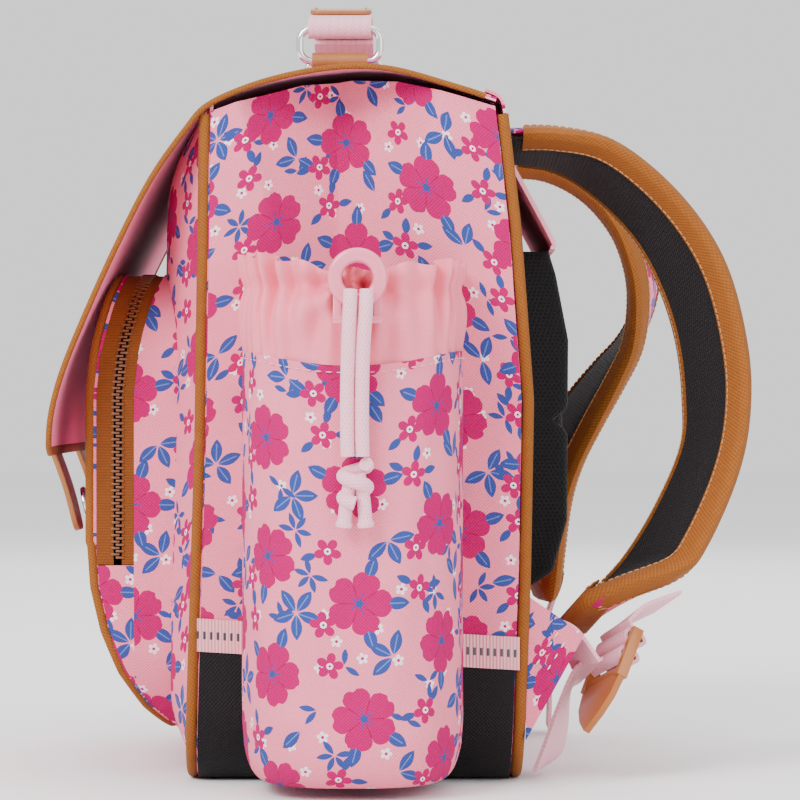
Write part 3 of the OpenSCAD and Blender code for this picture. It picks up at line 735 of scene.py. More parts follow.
cords = {
    "strandA": [(196.6, 0.1, 188), (197.4, -0.2, 180), (195.2, -0.8, 166), (192.6, -1.2, 150),
                (191, -1.2, 136), (190.6, -1, 127.5)],
    "strandB": [(196.6, 5.9, 188), (197.4, 5.6, 180), (195.2, 4.6, 166), (192.6, 4.2, 150),
                (191, 4.2, 136), (190.6, 4.4, 127.5)],
    "radius": 2.6,
    "knotCentre": (190.4, 1.7, 120.2),
}


def makeCords():
    x, y, z = cords["knotCentre"]
    turn = np.linspace(0.35 * math.pi, 4.0 * math.pi, 60)
    wound = [(x + 3.7 * math.cos(t), y + 4.3 * math.sin(t), z + 4.6 - 1.25 * (t - turn[0])) for t in turn]
    knot = tubeAlong("drawcordKnot", wound, cords["radius"], (0, 0, 1), 14)
    dress(knot, "bag", cordBraid, "drawcord_knot")
    for name, shift, lean in (("A", -3.0, -1.2), ("B", 3.0, 0.9)):
        tail = smoothLine([(x, y + shift * 0.4, z + 1), (x + 0.4, y + shift, z - 8),
                           (x + 0.2, y + shift + lean, z - 18.6)], 26)
        radius = np.full(26, 2.5)
        radius[-4:] = (2.7, 3.0, 3.1, 2.8)
        piece = tubeAlong("drawcordTail" + name, tail, radius, (0, 1, 0), 14)
        dress(piece, "bag", cordBraid)
    for name, exitPoint in (("A", cords["strandA"]), ("B", cords["strandB"])):
        line = smoothLine(exitPoint, 60)
        piece = tubeAlong("drawcordStrand" + name, line, cords["radius"], (0, 1, 0), 16)
        dress(piece, "bag", cordBraid, "drawcord_strand_" + name.lower())


makeCords()
print("drawcord ready")


# ---------- body of the bag ----------

bag = {
    "half": 115.0,
    "corner": 30.0,
    "top": 262.0,
    "frontLine": [(0, -60.5), (130, -56.5), (264, -54.6)],
    "backLine": [(0, 60.5), (80, 63.5), (148, 64.7), (215, 59.8), (264, 54.2)],
    "frontBulge": 20.0,
    "backBulge": 2.5,
    "bootFront": 52.0,
    "bootBack": 45.0,
    "ribbon": 12.7,
    "puff": 2.6,
    "cloth": 1.2,
    "sideTop": [(-54.6, 259), (-45, 262.5), (-20, 270.5), (0, 273), (18, 271.5), (41, 265), (54.2, 261)],
}


def onLine(line, z):
    return float(np.interp(z, [p[0] for p in line], [p[1] for p in line]))


def pillow(distance, reach=70.0):
    # how far a stuffed panel has risen at a distance from its seam, from 0 to 1
    return 1 - (1 - min(max(distance, 0), reach) / reach) ** 2.5


def lowerEdge(x, half, corner, base=0.0):
    over = max(0.0, abs(x) - (half - corner))
    return base + corner - math.sqrt(max(0.0, corner ** 2 - over ** 2))


def frontSurface(x, z):
    rise = pillow(bag["half"] - abs(x)) * pillow(z - lowerEdge(x, bag["half"], bag["corner"]))
    return onLine(bag["frontLine"], z) - bag["frontBulge"] * rise * pillow(266 - z, 50)


def backSurface(x, z):
    rise = pillow(bag["half"] - abs(x)) * pillow(z - lowerEdge(x, bag["half"], bag["corner"]))
    return onLine(bag["backLine"], z) + bag["backBulge"] * rise * pillow(262 - z, 40)


def bootTop(y):
    return bag["bootFront"] + (y + 60) / 120 * (bag["bootBack"] - bag["bootFront"])


def sideSurface(y, z, side):
    # x of the side panel: slightly puffed, and folded in towards its top
    front = onLine(bag["frontLine"], z)
    back = onLine(bag["backLine"], z)
    u = (2 * y - front - back) / (back - front)
    puff = bag["puff"] * (1 - u * u) * pillow(z - 45, 60) * pillow(264 - z, 30)
    up = max(0.0, (z - 150) / 112)
    fold = 0.0
    if up > 0:
        reach = 38 * up ** 0.8
        fold = 27 * up * max(0.0, 1 - abs(y + 6) / reach) ** 0.85
    ripple = 0.5 * math.sin(y * 0.13 + z * 0.05) * math.sin(z * 0.06 + 1) * (1 - u * u)
    return side * (bag["half"] + puff - fold + ripple)


def seamed(name, rows, material, nodes=(), thickness=None, body="bag", uvShift=(0, 0)):
    # sheet with the thickness of cloth, riding a body
    piece = sheetFrom(name, rows, uvShift=uvShift)
    thicken(piece, thickness or bag["cloth"])
    return dress(piece, body, material, nodes)


def makeBody():
    half = bag["half"]
    xs = np.linspace(-half, half, 73)
    ts = np.linspace(0, 1, 81)
    rows = []
    for t in ts:
        row = []
        for x in xs:
            low = lowerEdge(x, half, bag["corner"])
            z = low + t * (bag["top"] + 1 - low)
            row.append((x, frontSurface(x, z) + 0.3, z))
        rows.append(row)
    seamed("frontPanelCloth", rows, floralCanvas, "front_panel")
    rows = []
    for t in ts:
        row = []
        for x in xs:
            low = lowerEdge(x, half, bag["corner"])
            z = low + t * (bag["top"] - 2 - low)
            row.append((x, backSurface(x, z) - 0.4, z))
        rows.append(row)
    seamed("backPanelCloth", rows, floralCanvas, "back_panel", uvShift=(31, 17))
    for side, word in ((1, "Right"), (-1, "Left")):
        rows = []
        for t in np.linspace(0, 1, 97):
            row = []
            for u in np.linspace(-1, 1, 61):
                # the top edge rises in the middle, close under the flap
                z = 40 + t * (onLine(bag["sideTop"], 54.4 * u) - 40)
                y = 0.5 * (onLine(bag["frontLine"], z) * (1 - u) + onLine(bag["backLine"], z) * (1 + u))
                row.append((sideSurface(y, z, side), y, z))
            rows.append(row)
        seamed("sidePanel" + word, rows, floralCanvas, "side_gusset_" + word.lower(),
               uvShift=(12 if side > 0 else 40, 5))
        rows = []
        for t in np.linspace(0, 1, 5):
            row = []
            for y in np.linspace(-60, 64, 61):
                z = bootTop(y) - 0.6 + t * bag["ribbon"]
                row.append((sideSurface(y, z, side) + side * 1.3, y, z))
            rows.append(row)
        seamed("ribbon" + word, rows, ribbonCloth, "side_ribbons" if side > 0 else (),
               0.8)
    # black base, bent up into both sides
    corner = bag["corner"]
    rows = []
    steps = [(half, t, None) for t in np.linspace(1, 0, 12)]
    steps += [(half - corner + corner * math.cos(a), None, corner - corner * math.sin(a))
              for a in np.linspace(0, math.pi / 2, 15)[1:]]
    steps += [(x, None, 0.0) for x in np.linspace(half - corner, 0, 12)[1:]]
    steps = steps + [(-x, t, z) for x, t, z in reversed(steps[:-1])]
    for x, t, z in steps:
        row = []
        for u in np.linspace(0, 1, 41):
            y = -60.5 + 121 * u
            high = bootTop(y)
            place = corner + t * (high - corner) if z is None else z
            y = onLine(bag["frontLine"], place) * (1 - u) + onLine(bag["backLine"], place) * u
            row.append((x + math.copysign(0.7, x), y, place + 0.6 * (place < 1)))
        rows.append(row)
    seamed("baseBoot", rows, blackCanvas, "base_boot", 1.4)
    roundedCopy("base_board", 1.0, boardGrey, "bag")
    roundedCopy("back_board", 1.0, boardGrey, "bag")


def bodyPiping(name, line, shift, node):
    # piping sewn round the front or back face
    half = bag["half"] - 1.6
    corner = 28.4
    z0 = 2.4
    points = [(half, z) for z in np.linspace(258, z0 + corner, 44)]
    points += [(half - corner + corner * math.cos(a), z0 + corner - corner * math.sin(a))
               for a in np.linspace(0, math.pi / 2, 14)[1:]]
    points += [(x, z0) for x in np.linspace(half - corner, 0, 24)[1:]]
    points += [(-x, z) for x, z in reversed(points[:-1])]
    route = [(x, onLine(line, z) + shift, z) for x, z in points]
    route = evenLine(route, 320)
    piece = tubeAlong(name, route, 2.3, (0, 1, 0), 16)
    dress(piece, "bag", tanTwill, node)
    return route


makeBody()
bodyPiping("frontPiping", bag["frontLine"], -2.45, "front_piping")
bodyPiping("backPiping", bag["backLine"], 2.65, "back_piping")
print("body ready")


# ---------- front pocket ----------

pocket = {
    "half": 92.0,
    "top": 198.0,
    "topCorner": 35.0,
    "lowCorner": 40.0,
    "base": 17.0,
    "face": [(17, -69.4), (28, -80.4), (42, -89.4), (58, -95.9), (75, -99.9), (92, -101.1), (150, -101.1),
             (165, -99.6), (175, -97.6), (187, -94.6), (198, -90.6)],
    "lean": [(0, 0), (150, 0), (165, 1.5), (175, 3.5), (187, 6.5), (198, 10.5)],
    "bulge": 6.5,
    "zipStart": 85.0,
    "toothPitch": 1.25,
}


def pocketEnds(x):
    over = max(0.0, abs(x) - (pocket["half"] - pocket["topCorner"]))
    high = pocket["top"] - pocket["topCorner"] + math.sqrt(max(0.0, pocket["topCorner"] ** 2 - over ** 2))
    return lowerEdge(x, pocket["half"], pocket["lowCorner"], pocket["base"]), high


def pocketSurface(x, z):
    low, high = pocketEnds(x)
    rise = pillow(pocket["half"] - abs(x), 60) * pillow(z - low, 60) * pillow(high - z, 60)
    return onLine(pocket["face"], z) - pocket["bulge"] * rise


def pocketRim(inset, count):
    # right half of the pocket's outline from the bottom to the top, then mirrored to the left
    half = pocket["half"]
    a = pocket["lowCorner"]
    b = pocket["topCorner"]
    points = [(half - a + (a - inset) * math.sin(t), pocket["base"] + a - (a - inset) * math.cos(t))
              for t in np.linspace(0, math.pi / 2, 16)]
    points += [(half - b + (b - inset) * math.cos(t), pocket["top"] - b + (b - inset) * math.sin(t))
               for t in np.linspace(0, math.pi / 2, 18)]
    points += [(0.0, pocket["top"] - inset)]
    points += [(-x, z) for x, z in reversed(points[:-1])]
    return evenLine(points, count)


def pocketBand(near, far, high=300):
    # strip round the pocket's rim up to a height; near and far give its two edges as y at a point of the rim
    rows = []
    for x, z in pocketRim(0.4, 260):
        if z <= high:
            start = near(x, z)
            end = max(far(x, z), start + 0.4)
            rows.append([(x, start + (end - start) * t, z) for t in np.linspace(0, 1, 9)])
    return rows


def makePocket():
    rows = []
    for t in np.linspace(0, 1, 73):
        row = []
        for x in np.linspace(-pocket["half"] + 0.8, pocket["half"] - 0.8, 73):
            low, high = pocketEnds(x)
            z = low + t * (high - low)
            row.append((x, pocketSurface(x, z), z))
        rows.append(row)
    seamed("pocketFace", rows, floralCanvas, "pocket_front", uvShift=(7, 26))

    def lean(z):
        return onLine(pocket["lean"], z)

    def faceEdge(x, z):
        return onLine(pocket["face"], z) + 0.4

    def zipRear(x, z):
        return max(-86 + lean(z), faceEdge(x, z))

    def panel(x, z):
        return frontSurface(x, z) + 1

    seamed("pocketGussetRear", pocketBand(zipRear, panel), floralCanvas, "pocket_gusset",
           uvShift=(22, 9))
    for side, word in ((1, "Right"), (-1, "Left")):
        rows = [r for r in pocketBand(faceEdge, zipRear, pocket["zipStart"]) if r[0][0] * side > 0]
        seamed("pocketGusset" + word, rows, floralCanvas, (), uvShift=(22, 40))
    for word, a, b in (("Front", -100.7, -94.0), ("Rear", -90.8, -84.6)):
        rows = []
        for x, z in pocketRim(0.9, 260):
            if z >= pocket["zipStart"] - 2:
                rows.append([(x, a + (b - a) * t + lean(z), z) for t in np.linspace(0, 1, 6)])
        seamed("zipTape" + word, rows, zipTape, "zip_tapes" if word == "Front" else (), 0.9)
    places = []
    rim = [p for p in pocketRim(0.6, 2400) if p[1] >= pocket["zipStart"]]
    length = np.linalg.norm(np.diff(rim, axis=0), axis=1).sum()
    rim = evenLine(rim, int(length / pocket["toothPitch"]) + 1)
    for k in range(1, len(rim) - 1):
        x, z = rim[k]
        along = np.array([rim[k + 1][0] - rim[k - 1][0], 0, rim[k + 1][1] - rim[k - 1][1]])
        along /= np.linalg.norm(along)
        shift = 0.9 if k % 2 else -0.9
        places.append(((x, -92.4 + lean(z) + shift, z), along, (0, 1, 0), np.cross(along, (0, 1, 0))))
    bpy.ops.object.select_all(action="DESELECT")
    bpy.ops.mesh.primitive_cube_add(size=1)
    seed = bpy.context.object
    seed.scale = (0.95 * mm, 3.4 * mm, 1.7 * mm)
    bpy.ops.object.transform_apply(location=False, rotation=False, scale=True)
    softEdges(seed, 0.3, 2)
    teeth = repeatShape("zipTeeth", seed, places)
    dress(teeth, "bag", coilPlastic, "zip_chain")
    roundedCopy("zip_slider", 0.5, camelMetal, "zip_slider")
    roundedCopy("zip_pull", 0.35, tanLeather, "zip_pull")
    route = [(x, -103.3 + lean(z) if z > 92 else onLine(pocket["face"], z) - 1.6, z)
             for x, z in pocketRim(1.9, 300)]
    piece = tubeAlong("pocketPiping", route, 1.9, (0, 1, 0), 14)
    dress(piece, "bag", tanTwill, "pocket_piping")
    roundedCopy("pocket_magnets", 0.4, nickel, "bag")


camelMetal = makeMetal("camelMetal", (0.40, 0.18, 0.05, 1), 0.3)
makePocket()
print("pocket ready")


# ---------- bottle sleeve, gathered collar and cord lock ----------

sleeve = {
    "halfWidth": 41.5,
    "depth": 68.0,
    "seam": 163.0,
    "rimFront": 202.0,
    "rimLock": 195.5,
    "rimBack": 199.5,
    "pleats": 20,
    "lockZ": 192.0,
}

# springs under the cord lock's plunger
lockSpring = {
    "centre": (190.2, 2.5),
    "apart": 7.4,
    "top": 195.5,
    "length": 5.9,
    "travel": 2.5,
    "turns": 5,
    "radius": 1.1,
    "wire": 0.22,
}


def sleeveOutline(angle, scale=1.0, push=0.0):
    # place on the sleeve's outline, from the front of the bag round to the back
    c = -math.cos(angle)
    s = math.sin(angle)
    y = math.copysign(abs(c) ** (2 / 3), c) * sleeve["halfWidth"]
    x = abs(s) ** (2 / 3) * sleeve["depth"]
    far = math.hypot(x, y)
    return bag["half"] + 0.6 + x * scale + push * x / far, y * scale + push * y / far


def sleeveAngles(count):
    fine = np.linspace(0, math.pi, 1200)
    line = np.array([sleeveOutline(a) for a in fine])
    far = np.concatenate([[0], np.cumsum(np.linalg.norm(np.diff(line, axis=0), axis=1))])
    return np.interp(np.linspace(0, far[-1], count), far, fine), far[-1]


def makeSleeve():
    angles, around = sleeveAngles(141)
    seam = [sleeve["seam"] + 3.5 * abs(math.cos(a)) - 2.5 * math.sin(a) ** 4 for a in angles]
    rows = []
    for t in np.linspace(0, 1, 6):
        rows.append([(*sleeveOutline(a, 0.02 + 0.76 * t), 5 + 2.2 * (1 - t)) for a in angles])
    for t in np.linspace(0.08, 1, 12):
        low = 5 + 21 * (1 - math.sqrt(1 - t * t))
        rows.append([(*sleeveOutline(a, 0.78 + 0.22 * t ** 0.8), low) for a in angles])
    for t in np.linspace(0, 1, 50)[1:]:
        row = []
        for k, a in enumerate(angles):
            z = 26 + t * (seam[k] - 26)
            sag = (0.7 * math.sin(7 * a + 0.02 * z) + 0.6 * math.sin(13 * a - 0.05 * z)) * math.sin(a)
            crease = 0.9 * math.sin(0.16 * z + 3 * a) * max(0, 1 - (z - 26) / 60)
            row.append((*sleeveOutline(a, 1.0, sag * 0.7 + crease * math.sin(a)), z))
        rows.append(row)
    seamed("bottleSleeve", rows, floralCanvas, "bottle_sleeve", uvShift=(9, 3))

    # satin collar: pleats that deepen towards the cord, and folds that fan out from the lock
    angles, around = sleeveAngles(421)
    rows = []
    for t in np.linspace(0, 1, 64):
        row = []
        for k, a in enumerate(angles):
            s = (k / 420 - 0.5) * around
            base = sleeve["seam"] + 3.5 * abs(math.cos(a)) - 2.5 * math.sin(a) ** 4
            if a < math.pi / 2:
                rim = sleeve["rimFront"]
            else:
                rim = sleeve["rimBack"]
            rim -= (rim - sleeve["rimLock"]) * math.exp(-(s / 24) ** 2)
            phase = 2 * math.pi * sleeve["pleats"] * (k / 420) + 1.3 * math.sin(0.05 * s + 2)
            deep = (0.8 + 3.6 * t) * (0.7 + 0.4 * math.sin(0.17 * s + 1))
            ripple = deep * math.sin(phase + 0.9 * math.sin(0.11 * s) * t)
            z = base + t * (rim - base) + 1.1 * t ** 4 * math.sin(phase * 0.5 + 0.7)
            dz = z - sleeve["lockZ"]
            far = math.hypot(s, dz)
            fan = math.sin(8 * math.atan2(dz, abs(s) + 2) + 0.6 * math.copysign(1, s))
            fold = 3.6 * fan * math.exp(-far / 30) * min(1, far / 8) * (1 - 0.2 * t)
            channel = -1.8 * math.exp(-((z - 190) / 4.0) ** 2) + 1.4 * math.exp(-((z - 178) / 9) ** 2)
            row.append((*sleeveOutline(a, 1.0, (ripple + fold) * math.sin(a) ** 0.3 - 0.6 + channel), z))
        rows.append(row)
    collar = seamed("collarSatin", rows, pinkSatin, "bottle_collar", 0.7)

    # round cord lock, turned from a rounded section
    x, y, z = 190.2, 2.5, 192.5
    section = []
    for t in np.linspace(0, 2 * math.pi, 33):
        u = math.copysign(abs(math.cos(t)) ** 0.55, math.cos(t))
        v = math.copysign(abs(math.sin(t)) ** 0.55, math.sin(t))
        section.append((8.25 + 2.75 * u, 3.4 * v))
    rows = []
    for r, w in section:
        rows.append([(x + w, y + r * math.cos(a), z + r * math.sin(a))
                     for a in np.linspace(0, 2 * math.pi, 73)])
    ring = sheetFrom("cordLockRing", rows, wrap=True, closed=True)
    dress(ring, "bag", pinkPlastic, "cord_lock_body")
    roundedCopy("cord_lock_plunger", 0.7, pinkPlastic, "cord_lock_plunger")
    coils = []
    for side in (-1, 1):
        turns = np.linspace(0, 2 * math.pi * lockSpring["turns"], 90)
        coil = [(lockSpring["centre"][0] + lockSpring["radius"] * math.cos(a),
                 lockSpring["centre"][1] + side * lockSpring["apart"] + lockSpring["radius"] * math.sin(a),
                 lockSpring["top"] - lockSpring["length"] * a / turns[-1]) for a in turns]
        coils.append(tubeAlong("lockSprings", coil, lockSpring["wire"], (0, 0, 1), around=6))
    pickOnly(coils[0])
    coils[1].select_set(True)
    bpy.ops.object.join()
    springs = dress(coils[0], "bag", nickel, "cord_lock_springs")
    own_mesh(springs)
    seamLine = [[(*sleeveOutline(a, 1.0, 0.9), sleeve["seam"] + 3.5 * abs(math.cos(a))
                  - 2.5 * math.sin(a) ** 4 - 2.6) for a in angles[4:-4:4]]]
    stitchRow("sleeveStitches", seamLine, [(1, 0, 0)], "bag", pinkThread)


pinkThread = makePlastic("pinkThread", (0.80, 0.36, 0.42, 1), 0.6, 0.0)
makeSleeve()
print("sleeve ready")


# ---------- back pad, yoke and wings ----------

back = {
    "padHalf": 68.0,
    "padLine": [(72, 70), (80, 79), (100, 84.5), (172, 85), (198, 80), (207.5, 77)],
    "yokeLine": [(77, 208), (77.5, 211), (60, 243.5)],
}


def makeBack():
    rows = []
    for t in np.linspace(0, 1, 97):
        row = []
        z = 72 + t * 135
        for x in np.linspace(-1, 1, 97):
            far = min(pillow((1 - abs(x)) * back["padHalf"], 9), pillow(z - 72, 9))
            rise = onLine(back["padLine"], z) - 66
            channel = 1.0 - 0.38 * math.exp(-((abs(x) * back["padHalf"] - 18) / 3.2) ** 2)
            channel -= 0.3 * math.exp(-((z - 140) / 3) ** 2) * (abs(x) * back["padHalf"] > 18)
            row.append((x * back["padHalf"], 64.5 + 1.2 + rise * far * channel, z))
        rows.append(row)
    pad = seamed("backPadMesh", rows, airMesh, "back_pad")
    rows = []
    for y, z in smoothLine(back["yokeLine"], 28):
        rows.append([(x, y + 0.8 * math.cos(x / 88 * 1.4), z) for x in np.linspace(-88, 88, 45)])
    seamed("yokeCloth", rows, yokeCloth, "yoke_panel", 1.6)
    for z, y in ((210.5, 78.6), (240, 63.2)):
        stitchRow("yokeStitches", [[(x, y, z) for x in (-86, 86)]], [(0, 1, 0.3)], "bag", pinkThread)

    def triangle(name, a, b, c, node, thickness, shift):
        rows = []
        for t in np.linspace(0, 1, 17):
            start = np.array(a) + (np.array(c) - np.array(a)) * t
            end = np.array(b) + (np.array(c) - np.array(b)) * t * 0.97
            rows.append([start + (end - start) * u for u in np.linspace(0, 1, 17)])
        return seamed(name, rows, floralCanvas, node, thickness, uvShift=shift)

    triangle("wingRight", (112, 66.5, 73), (112, 66.5, 17), (111.6, 89, 57.5), "strap_wing_right",
             2.6, (5, 20))
    triangle("wingLeft", (-113, 69.2, 74), (-113, 69.2, 18), (-88, 69.6, 47), "strap_wing_left", 2.2, (25, 9))
    lines = [[(113.5, 79.4, 59.4), (113.5, 69.9, 45.3)], [(113.4, 82, 55.8), (113.5, 74.1, 42.9)]]
    stitchRow("wingStitches", lines, [(1, 0, 0)] * 2, "bag", whiteThread)


makeBack()
print("back ready")


# ---------- shoulder straps ----------

strap = {
    "half": 3.5,
    "edge": 0.9,
    "binding": 8.4,
    "tipBinding": 12.0,
    "rightOuter": [(88, 61, 252), (90, 80, 252), (93, 102, 247), (96, 126, 227), (99, 143, 201),
                   (101, 151.5, 168), (102, 152, 141), (103, 147, 118), (104, 136, 93), (104, 128, 83.5),
                   (104, 109, 77.5), (103, 90, 71)],
    "rightInner": [(34, 61, 247), (36, 81, 243), (40, 98, 231), (45, 114, 213), (49, 124, 193),
                   (52, 130.5, 171), (53, 133, 148), (54, 132, 128), (55, 122, 105), (56, 109, 84),
                   (60, 91, 63), (68, 76.5, 52)],
    "leftOuter": [(-88, 61, 252), (-90, 84, 250), (-94, 104, 241), (-98, 123, 224), (-102, 129.5, 207),
                  (-105, 127, 190), (-108, 119, 175), (-112, 107, 163), (-117, 94, 148), (-120, 84, 130),
                  (-122, 80.5, 108), (-123, 79.5, 84), (-122, 79, 60)],
    "leftInner": [(-34, 61, 247), (-38, 80, 246), (-43, 98, 237), (-48, 111, 222), (-51, 118, 204),
                  (-54, 120, 188), (-58, 118.5, 170), (-62, 112, 154), (-66, 103, 136), (-71, 95.5, 120),
                  (-76, 90.5, 104), (-82, 87.5, 82), (-86, 85.5, 60)],
}


def strapHeight(distance):
    return strap["edge"] + strap["half"] * pillow(distance, 17)


def makeStrap(word, side):
    low = word.lower()
    count = 150
    outer = smoothLine(strap[low + "Outer"], count)
    inner = smoothLine(strap[low + "Inner"], count)
    wide = np.linalg.norm(outer - inner, axis=1)
    across = (outer - inner) / wide[:, None]
    middle = (outer + inner) / 2
    along = np.gradient(middle, axis=0)
    along /= np.linalg.norm(along, axis=1)[:, None]
    out = np.cross(along, across) * -side
    out /= np.linalg.norm(out, axis=1)[:, None]
    left = np.concatenate([[0], np.cumsum(np.linalg.norm(np.diff(middle, axis=0), axis=1))])
    left = left[-1] - left
    tip = (outer[-1] - inner[-1]) / wide[-1]
    for name, sign, cloth, node, slotName in (
            ("strapMesh", -1, airMesh, "strap_pad_" + low, "air_mesh"),
            ("strapPrint", 1, floralCanvas, (), "floral_fabric")):
        rows = []
        for k in range(count):
            row = []
            # the cloth steps in at the tip's corners, under the binding
            reach = 0.985 - max(0.0, 6 - left[k]) / (wide[k] / 2)
            for u in np.linspace(-reach, reach, 29):
                place = middle[k] + across[k] * wide[k] / 2 * u
                toTip = np.linalg.norm(np.cross(place - inner[-1], tip)) if left[k] < 40 else 40
                far = min((1 - abs(u)) * wide[k] / 2, toTip)
                row.append(place + out[k] * sign * strapHeight(far))
            rows.append(row)
        piece = seamed(name + word, rows, cloth, node, 0.9, "strap_" + low, uvShift=(15 * side, 11))
    # binding that folds round both edges and the tip
    edge = [(outer[k], across[k], out[k], strap["binding"]) for k in range(3, count - 6)]
    edge += [(outer[-1] - along[-1] * 4 * (1 - t) - across[-1] * 4 * t,
              across[-1] * math.cos(t * math.pi / 2) + along[-1] * math.sin(t * math.pi / 2), out[-1],
              strap["binding"]) for t in (0.25, 0.5, 0.75)]
    edge += [(outer[-1] + (inner[-1] - outer[-1]) * t, along[-1], out[-1], strap["tipBinding"])
             for t in np.linspace(0.16, 0.84, 14)]
    edge += [(inner[-1] - along[-1] * 4 * t + across[-1] * 4 * (1 - t),
              along[-1] * math.cos(t * math.pi / 2) - across[-1] * math.sin(t * math.pi / 2), out[-1],
              strap["binding"]) for t in (0.25, 0.5, 0.75)]
    edge += [(inner[k], -across[k], out[k], strap["binding"]) for k in range(count - 7, 2, -1)]
    rows = []
    for place, outward, up, reach in edge:
        row = []
        lift = 0.8 + 0.06 * (reach - strap["binding"])
        for d in (1.0, 0.86, 0.7, 0.5, 0.3, 0.14, 0.04):
            row.append(place - outward * reach * d + up * (strapHeight(reach * d) + lift))
        row.append(place + outward * 0.9)
        for d in (0.04, 0.14, 0.3, 0.5, 0.7, 0.86, 1.0):
            row.append(place - outward * reach * d - up * (strapHeight(reach * d) + lift))
        rows.append(row)
    seamed("strapBinding" + word, rows, tanTwill, (), 0.9, "strap_" + low)
    lines = [[p - o * (b - 1.4) + u * s * (strapHeight(b - 1.4) + 1.2) for p, o, u, b in edge[::3]]
             for s in (1, -1)]
    for sign, line, word2 in ((1, lines[0], "Out"), (-1, lines[1], "In")):
        threadAlong("strapStitches" + word + word2, line, [u * sign for p, o, u, b in edge[::3]],
                    "strap_" + low, tanThread)


# Stitches along a line whose up direction changes on the way
def threadAlong(name, line, ups, body, material):
    line = np.array(line, dtype=float)
    ups = np.array(ups, dtype=float)
    parts = [line[k:k + 2] for k in range(len(line) - 1)]
    return stitchRow(name, parts, [ups[k] for k in range(len(line) - 1)], body, material)


makeStrap("Right", 1)
makeStrap("Left", -1)
print("straps ready")


# ---------- ladder locks and webbing under the straps ----------

locks = {
    "rightAt": (107, 90, 19.5),
    "rightTurn": (-30, -18, 25),
    "leftAt": (-104, 75, 7),
    "leftTurn": (-5, 0, -8),
    "webbing": 12.4,
    "thick": 1.5,
    "patchRight": ([(100.5, 127.5, 73.5), (99.5, 114, 68.5), (99, 107.5, 62.5)],
                   [(82, 118, 65), (79.5, 104, 58), (78, 97.5, 54.5)]),
    "patchLeft": ([(-92, 87.3, 64), (-92, 84, 54), (-92, 80.2, 49.4)],
                  [(-116, 87.3, 64), (-116, 84, 54), (-116, 80.2, 49.4)]),
    "tailRight": ([(99, 97, 47.5), (96, 87, 44), (95, 79.5, 28), (94.4, 74.5, 14), (93.5, 70.3, 3)],
                  [(78, 89, 37), (74, 85, 33), (73, 84, 19), (72.2, 81.5, 8.5), (71.4, 74, 2.4)]),
    "tailLeft": ([(-92, 82.4, 40), (-92, 84, 30), (-92, 84.4, 18), (-92, 84, 3)],
                 [(-116, 82.4, 40), (-116, 84, 30), (-116, 84.4, 18), (-116, 84, 3)]),
    "adjustRight": ([(110, 76, 64), (109, 86, 59.5), (107, 95.5, 47)],
                    [(86.5, 74, 62), (86, 80, 56), (87, 86, 42.5)]),
    "adjustLeft": ([(-91, 71.2, 52), (-91, 71.4, 40), (-91, 72.2, 33.5)],
                   [(-115, 71.2, 52), (-115, 71.4, 40), (-115, 72.2, 33.5)]),
}


def lockPlace(at, turn):
    # from the lock's own millimetres to the model's
    matrix = Euler([math.radians(a) for a in turn], "XYZ").to_matrix()
    return lambda x, y, z: np.array(at, dtype=float) + np.array(matrix @ Vector((x, y, z)))


def tapeRows(edges, count, columns=13):
    one = smoothLine(edges[0], count)
    two = smoothLine(edges[1], count)
    return [[b + (a - b) * u for u in np.linspace(0, 1, columns)] for a, b in zip(one, two)]


def loopRows(place, barZ, radius, start, end, columns=13):
    rows = []
    for angle in np.linspace(start, end, 26):
        # the soft loop stands out from the bar on its outer side
        bulge = 1.0 + 0.75 * max(0.0, math.cos(angle))
        rows.append([place(x, radius * bulge * math.cos(angle), barZ + radius * math.sin(angle))
                     for x in np.linspace(-locks["webbing"], locks["webbing"], columns)])
    return rows


def makeLock(word):
    low = word.lower()
    place = lockPlace(locks[low + "At"], locks[low + "Turn"])
    roundedCopy("ladder_lock_" + low, 0.9, camelPlastic, "lock_" + low, 3, 28)
    patch = tapeRows(locks["patch" + word], 18)
    loop = loopRows(place, 40, 3.1, math.radians(110), math.radians(-230))
    seamed("strapWebbing" + word, patch + loop, pinkWebbing, "strap_webbing_" + low,
           locks["thick"], "strap_" + low)
    loop = loopRows(place, 32, 3.0, math.radians(-60), math.radians(270))
    seamed("webbingLoop" + word, loop, pinkWebbing, "webbing_wrap_" + low,
           locks["thick"], "lock_" + low)
    tail = seamed("webbingTail" + word, tapeRows(locks["tail" + word], 30), pinkWebbing,
                  "webbing_tail_" + low, locks["thick"], "lock_" + low)
    piece = seamed("adjustWebbing" + word, tapeRows(locks["adjust" + word], 24), pinkWebbing,
                   "adjust_webbing_" + low, locks["thick"], None)
    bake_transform(piece)


makeLock("Right")
makeLock("Left")
print("ladder locks ready")


# ---------- flap ----------

flap = {
    "half": 117.0,
    "corner": 14.0,
    "path": [(55.4, 264.6), (41, 269.5), (18, 276), (0, 277.4), (-20, 275), (-40, 270), (-57, 262.5),
             (-66, 252.5), (-78, 235), (-90, 212), (-102, 187), (-112, 163), (-117, 145), (-119, 127)],
    "patchPath": [(-86.5, 224), (-92.3, 212.6), (-102.3, 191), (-110.6, 171)],
    "closurePath": [(-100.6, 196), (-104.4, 188), (-114.4, 164), (-119.6, 145.5), (-121.3, 131),
                    (-119.6, 126), (-114.7, 112), (-110.6, 96)],
    "closureAt": 55.0,
    "rivetAt": (-107.6, 181.8),
    "closureWidth": 12.5,
}


def pathNormals(line):
    run = np.gradient(np.array(line, dtype=float), axis=0)
    run /= np.linalg.norm(run, axis=1)[:, None]
    return np.stack([run[:, 1], -run[:, 0]], axis=1)


